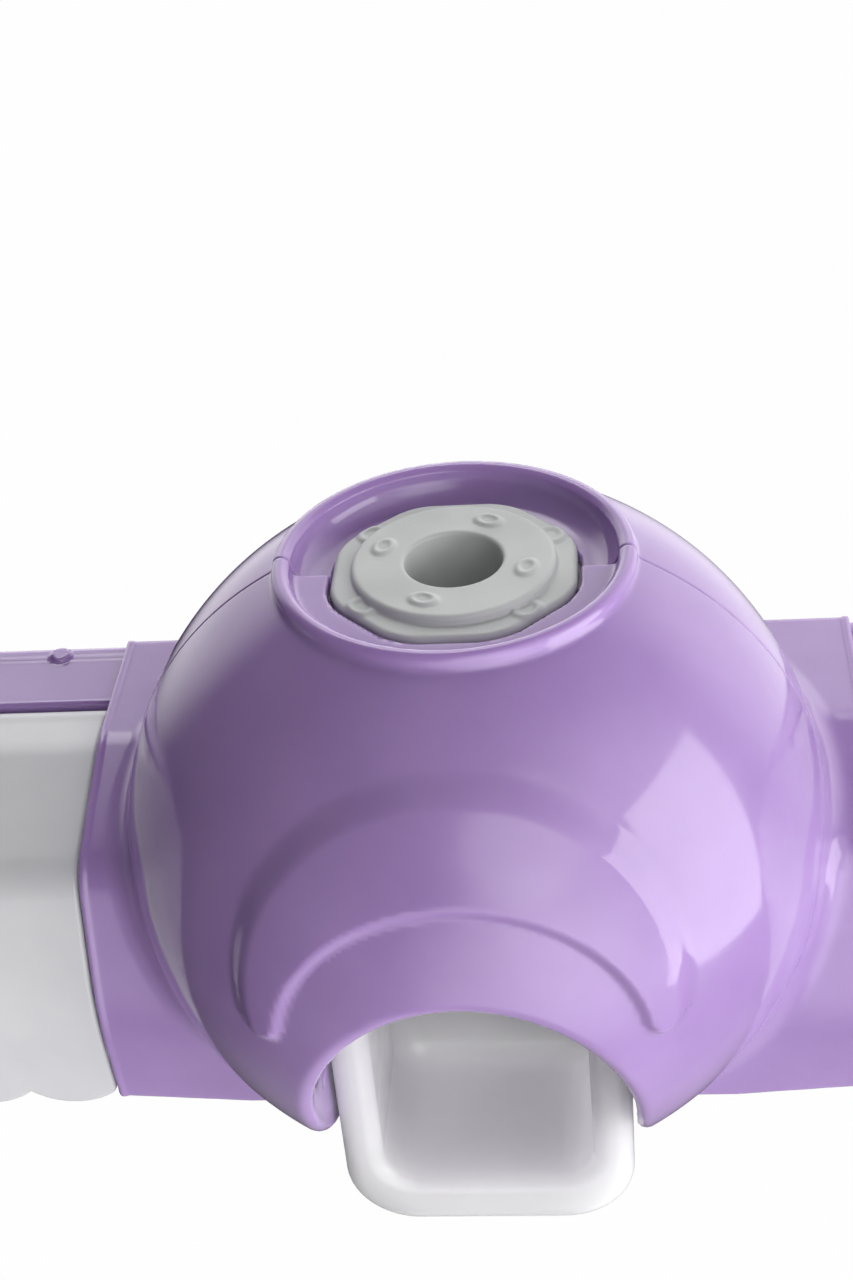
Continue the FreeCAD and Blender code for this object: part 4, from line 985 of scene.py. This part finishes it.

# %% [markdown]
# ## Hand each piece its finish and its body, and hide its CAD node
# Every new piece rides on the body that its CAD node belongs to, so that poses move it, and the
# CAD node that it stands for is hidden. The remaining CAD nodes stay and get a
# material and a small bevel, because a machined edge also catches a thin line of light.

# %% Dress the new pieces
def dress(piece, material, body, node):
    piece.data.materials.clear()
    piece.data.materials.append(material)
    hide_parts(node)
    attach(piece, body)


dress(front_shell, lavender, "housing", "front_shell")
dress(rear_shell, lavender, "housing", "rear_shell")
dress(neck_seal, seal_rubber, "housing", "neck_seal")
dress(push_cup, cup_white, "push_cup", "push_cup")
dress(return_spring, steel, "housing", "return_spring")
dress(adhesive_pad, foam, "housing", "adhesive_pad")
for side, arm, cap, cover in zip(("right", "left"), arm_pieces, cap_pieces, cover_pieces):
    dress(arm, lavender, "housing", f"{side}_arm_frame")
    dress(cap, lavender, "housing", f"{side}_end_cap")
    dress(cover, cover_white, f"{side}_cover", f"{side}_cover")
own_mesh(return_spring)

# %% Dress the CAD nodes that stay
EDGE_BEVEL, BEVEL_SEGMENTS, BEVEL_FROM, WELD_REACH = 0.25 * MM, 2, math.radians(40), 1e-6
STAYING = {
    "pump_body": pump_plastic, "barrel_cap": pump_plastic, "outlet_nozzle": pump_plastic,
    "piston": pump_plastic, "right_brush_rack": pump_plastic, "left_brush_rack": pump_plastic,
    "wall_plate": pump_plastic, "inlet_valve": dark_rubber, "outlet_valve": dark_rubber,
    "piston_ring": dark_rubber, "guide_rods": steel, "right_hinge_pin": steel,
    "left_hinge_pin": steel, "shell_screws": steel, "arm_screws": steel, "pump_screws": steel,
}
for name, material in STAYING.items():
    piece = nodes[name]
    piece.data.materials.clear()
    piece.data.materials.append(material)
    weld = piece.modifiers.new("weld", "WELD")
    weld.merge_threshold = WELD_REACH
    soften = piece.modifiers.new("edge bevel", "BEVEL")
    soften.width = EDGE_BEVEL
    soften.segments = BEVEL_SEGMENTS
    soften.limit_method = "ANGLE"
    soften.angle_limit = BEVEL_FROM
    soften.harden_normals = True
    for face in piece.data.polygons:
        face.use_smooth = True
print("CAD nodes that stay:", len(STAYING))

# %% [markdown]
# ## Light
# The photograph was taken in front of a white sweep with a window on the right and a dim room on
# the left. Soft lobes of light on the world give that: each has a heading, an angle at which it
# starts, a smaller one at which it is full, and a level. The left stays dim. A world image could
# do the same, but a few named lobes are easier to read and to change. The window itself is an area
# lamp, since the glossy ball mirrors its outline. For camera rays the world is plain white.

# %% World
world = bpy.data.worlds.new("white_sweep")
bpy.context.scene.world = world
world.use_nodes = True
sky = world.node_tree
sky.nodes.clear()
direction = sky.nodes.new("ShaderNodeTexCoord").outputs["Generated"]


def heading(azimuth, elevation):
    """A direction; azimuth 0 is in front of the object and 90 on its right."""
    turn, rise = math.radians(azimuth), math.radians(elevation)
    return Vector((math.sin(turn) * math.cos(rise), -math.cos(turn) * math.cos(rise), math.sin(rise)))


def lobe(towards, edge, full, level):
    """Light that grows from nothing at one angle off a heading to a level at a smaller one."""
    dot = sky.nodes.new("ShaderNodeVectorMath")
    dot.operation = "DOT_PRODUCT"
    sky.links.new(direction, dot.inputs[0])
    dot.inputs[1].default_value = towards
    grow = sky.nodes.new("ShaderNodeMapRange")
    grow.interpolation_type = "SMOOTHSTEP"
    grow.inputs["From Min"].default_value = math.cos(math.radians(edge))
    grow.inputs["From Max"].default_value = math.cos(math.radians(full))
    grow.inputs["To Min"].default_value = 0
    grow.inputs["To Max"].default_value = level
    sky.links.new(dot.outputs["Value"], grow.inputs["Value"])
    return grow.outputs["Result"]


def add(first, second):
    node = sky.nodes.new("ShaderNodeMath")
    node.operation = "ADD"
    sky.links.new(first, node.inputs[0])
    if isinstance(second, float):
        node.inputs[1].default_value = second
    else:
        sky.links.new(second, node.inputs[1])
    return node.outputs["Value"]


print("straight ahead is", tuple(heading(0, 0)))

# %% Lobes of light
DIM_ROOM = 0.02
LIGHT_LOBES = {
    "main light, front right": (heading(50, 8), 60, 15, 1.65),
    "bright table, front": (heading(18, -14), 42, 10, 2.05),
    "table, lower": (heading(15, -45), 65, 15, 0.38),
    "ceiling, front": (heading(20, 30), 24, 10, 1.7),
    "sweep, behind right": (heading(150, 8), 50, 18, 2.0),
    "sweep, behind left": (heading(-150, 8), 36, 16, 1.9),
    "sweep, above the back": (heading(187, 34), 40, 15, 1.5),
    "lamp that the lip mirrors": (heading(195, 54), 18, 9, 4.0),
    "floor, below": (heading(0, -90), 45, 15, 0.5),
}
level = DIM_ROOM
for lobe_shape in LIGHT_LOBES.values():
    level = add(lobe(*lobe_shape), level)
print("lobes of light:", ", ".join(LIGHT_LOBES))

# %% White for the camera
studio = sky.nodes.new("ShaderNodeBackground")
sky.links.new(level, studio.inputs["Strength"])
white = sky.nodes.new("ShaderNodeBackground")
white.inputs["Color"].default_value = (1, 1, 1, 1)
light_path = sky.nodes.new("ShaderNodeLightPath")
choose = sky.nodes.new("ShaderNodeMixShader")
sky.links.new(light_path.outputs["Is Camera Ray"], choose.inputs["Fac"])
sky.links.new(studio.outputs["Background"], choose.inputs[1])
sky.links.new(white.outputs["Background"], choose.inputs[2])
sky.links.new(choose.outputs["Shader"], sky.nodes.new("ShaderNodeOutputWorld").inputs["Surface"])
print("world nodes:", len(sky.nodes))

# %% Window lamp
WINDOW_AZIMUTH, WINDOW_ELEVATION, WINDOW_DISTANCE = 75.0, -2.0, 0.9
WINDOW_WIDE, WINDOW_TALL, WINDOW_POWER = 0.62, 0.92, 5.7
ball_centre = Vector((0, PARTING * MM, 0))
window_light = bpy.data.lights.new("window", "AREA")
window_light.shape = "RECTANGLE"
window_light.size, window_light.size_y = WINDOW_WIDE, WINDOW_TALL
window_light.energy = WINDOW_POWER
window = bpy.data.objects.new("window", window_light)
bpy.context.scene.collection.objects.link(window)
towards_window = heading(WINDOW_AZIMUTH, WINDOW_ELEVATION)
window.location = ball_centre + towards_window * WINDOW_DISTANCE
window.rotation_mode = "QUATERNION"
window.rotation_quaternion = towards_window.to_track_quat("Z", "Y")
print("window lamp at", [round(value, 2) for value in window.location], "m")

# %% [markdown]
# ## Floor
# A pale floor lies some way below the part. It is a backdrop for the camera, which sees mostly
# plain white there; the light that a table would throw back is already in the world's lower
# lobes, so other rays pass through the floor. From below it is see-through too, which keeps views
# of the underside open.

# %% Floor
FLOOR_DROP, FLOOR_HALF = 0.60, 8.0
floor_mesh = bpy.data.meshes.new("floor")
floor_mesh.from_pydata([
    (across * FLOOR_HALF, along * FLOOR_HALF, -FLOOR_DROP)
    for across, along in ((-1, -1), (1, -1), (1, 1), (-1, 1))], [], [(0, 1, 2, 3)])
floor = bpy.data.objects.new("floor", floor_mesh)
bpy.context.scene.collection.objects.link(floor)
floor.visible_diffuse = False
floor.visible_glossy = False
floor.visible_shadow = False
print(f"floor {FLOOR_DROP / MM:.0f} mm below the origin")

# %% Floor paint
FLOOR_GREY, FLOOR_GLOW_SHARE = 0.85, 0.97
floor_paint = bpy.data.materials.new("floor_paint")
floor_paint.use_nodes = True
tree = floor_paint.node_tree
tree.nodes.clear()
matt = tree.nodes.new("ShaderNodeBsdfDiffuse")
matt.inputs["Color"].default_value = (FLOOR_GREY, FLOOR_GREY, FLOOR_GREY, 1)
glow = tree.nodes.new("ShaderNodeEmission")
clear = tree.nodes.new("ShaderNodeBsdfTransparent")
ray = tree.nodes.new("ShaderNodeLightPath")
seen = tree.nodes.new("ShaderNodeMath")
seen.operation = "ADD"
seen.use_clamp = True
tree.links.new(ray.outputs["Is Camera Ray"], seen.inputs[0])
tree.links.new(ray.outputs["Is Transmission Ray"], seen.inputs[1])
glow_share = tree.nodes.new("ShaderNodeMath")
glow_share.operation = "MULTIPLY"
glow_share.inputs[1].default_value = FLOOR_GLOW_SHARE
tree.links.new(seen.outputs["Value"], glow_share.inputs[0])
top_side = tree.nodes.new("ShaderNodeMixShader")
tree.links.new(glow_share.outputs["Value"], top_side.inputs["Fac"])
tree.links.new(matt.outputs["BSDF"], top_side.inputs[1])
tree.links.new(glow.outputs["Emission"], top_side.inputs[2])
either_side = tree.nodes.new("ShaderNodeMixShader")
face_side = tree.nodes.new("ShaderNodeNewGeometry")
tree.links.new(face_side.outputs["Backfacing"], either_side.inputs["Fac"])
tree.links.new(top_side.outputs["Shader"], either_side.inputs[1])
tree.links.new(clear.outputs["BSDF"], either_side.inputs[2])
floor_output = tree.nodes.new("ShaderNodeOutputMaterial")
tree.links.new(either_side.outputs["Shader"], floor_output.inputs["Surface"])
floor_mesh.materials.append(floor_paint)
print("floor paint nodes:", len(tree.nodes))

# %% [markdown]
# ## Camera
# The photograph looks down at the front from a little to the right, tilted by a few degrees. The
# place, the tilt and the lens were found by matching the outline of the ball, the lip and the
# arms; the picture's long side is its height, which is the side Blender's sensor width spans.

# %% Camera
CAMERA_PLACE = Vector((0.0231, -0.2768, 0.1959))
CAMERA_AZIMUTH, CAMERA_ELEVATION, CAMERA_ROLL = 6.69, 34.59, -5.77
CAMERA_LENS, SENSOR_WIDTH, NEAREST = 59.59, 36.0, 0.01
camera_data = bpy.data.cameras.new("camera")
camera_data.lens = CAMERA_LENS
camera_data.sensor_width = SENSOR_WIDTH
camera_data.clip_start = NEAREST
camera = bpy.data.objects.new("camera", camera_data)
bpy.context.scene.collection.objects.link(camera)
backwards = heading(CAMERA_AZIMUTH, CAMERA_ELEVATION)
level_right = (-backwards).cross(Vector((0, 0, 1))).normalized()
level_up = level_right.cross(-backwards)
roll = math.radians(CAMERA_ROLL)
rolled_right = math.cos(roll) * level_right + math.sin(roll) * level_up
rolled_up = math.cos(roll) * level_up - math.sin(roll) * level_right
camera.matrix_world = Matrix.Translation(CAMERA_PLACE) @ Matrix(
    (rolled_right, rolled_up, backwards)).transposed().to_4x4()
bpy.context.scene.camera = camera
bpy.context.scene.view_settings.view_transform = "Standard"
print(f"camera {(CAMERA_PLACE - ball_centre).length / MM:.0f} mm from the ball's centre")
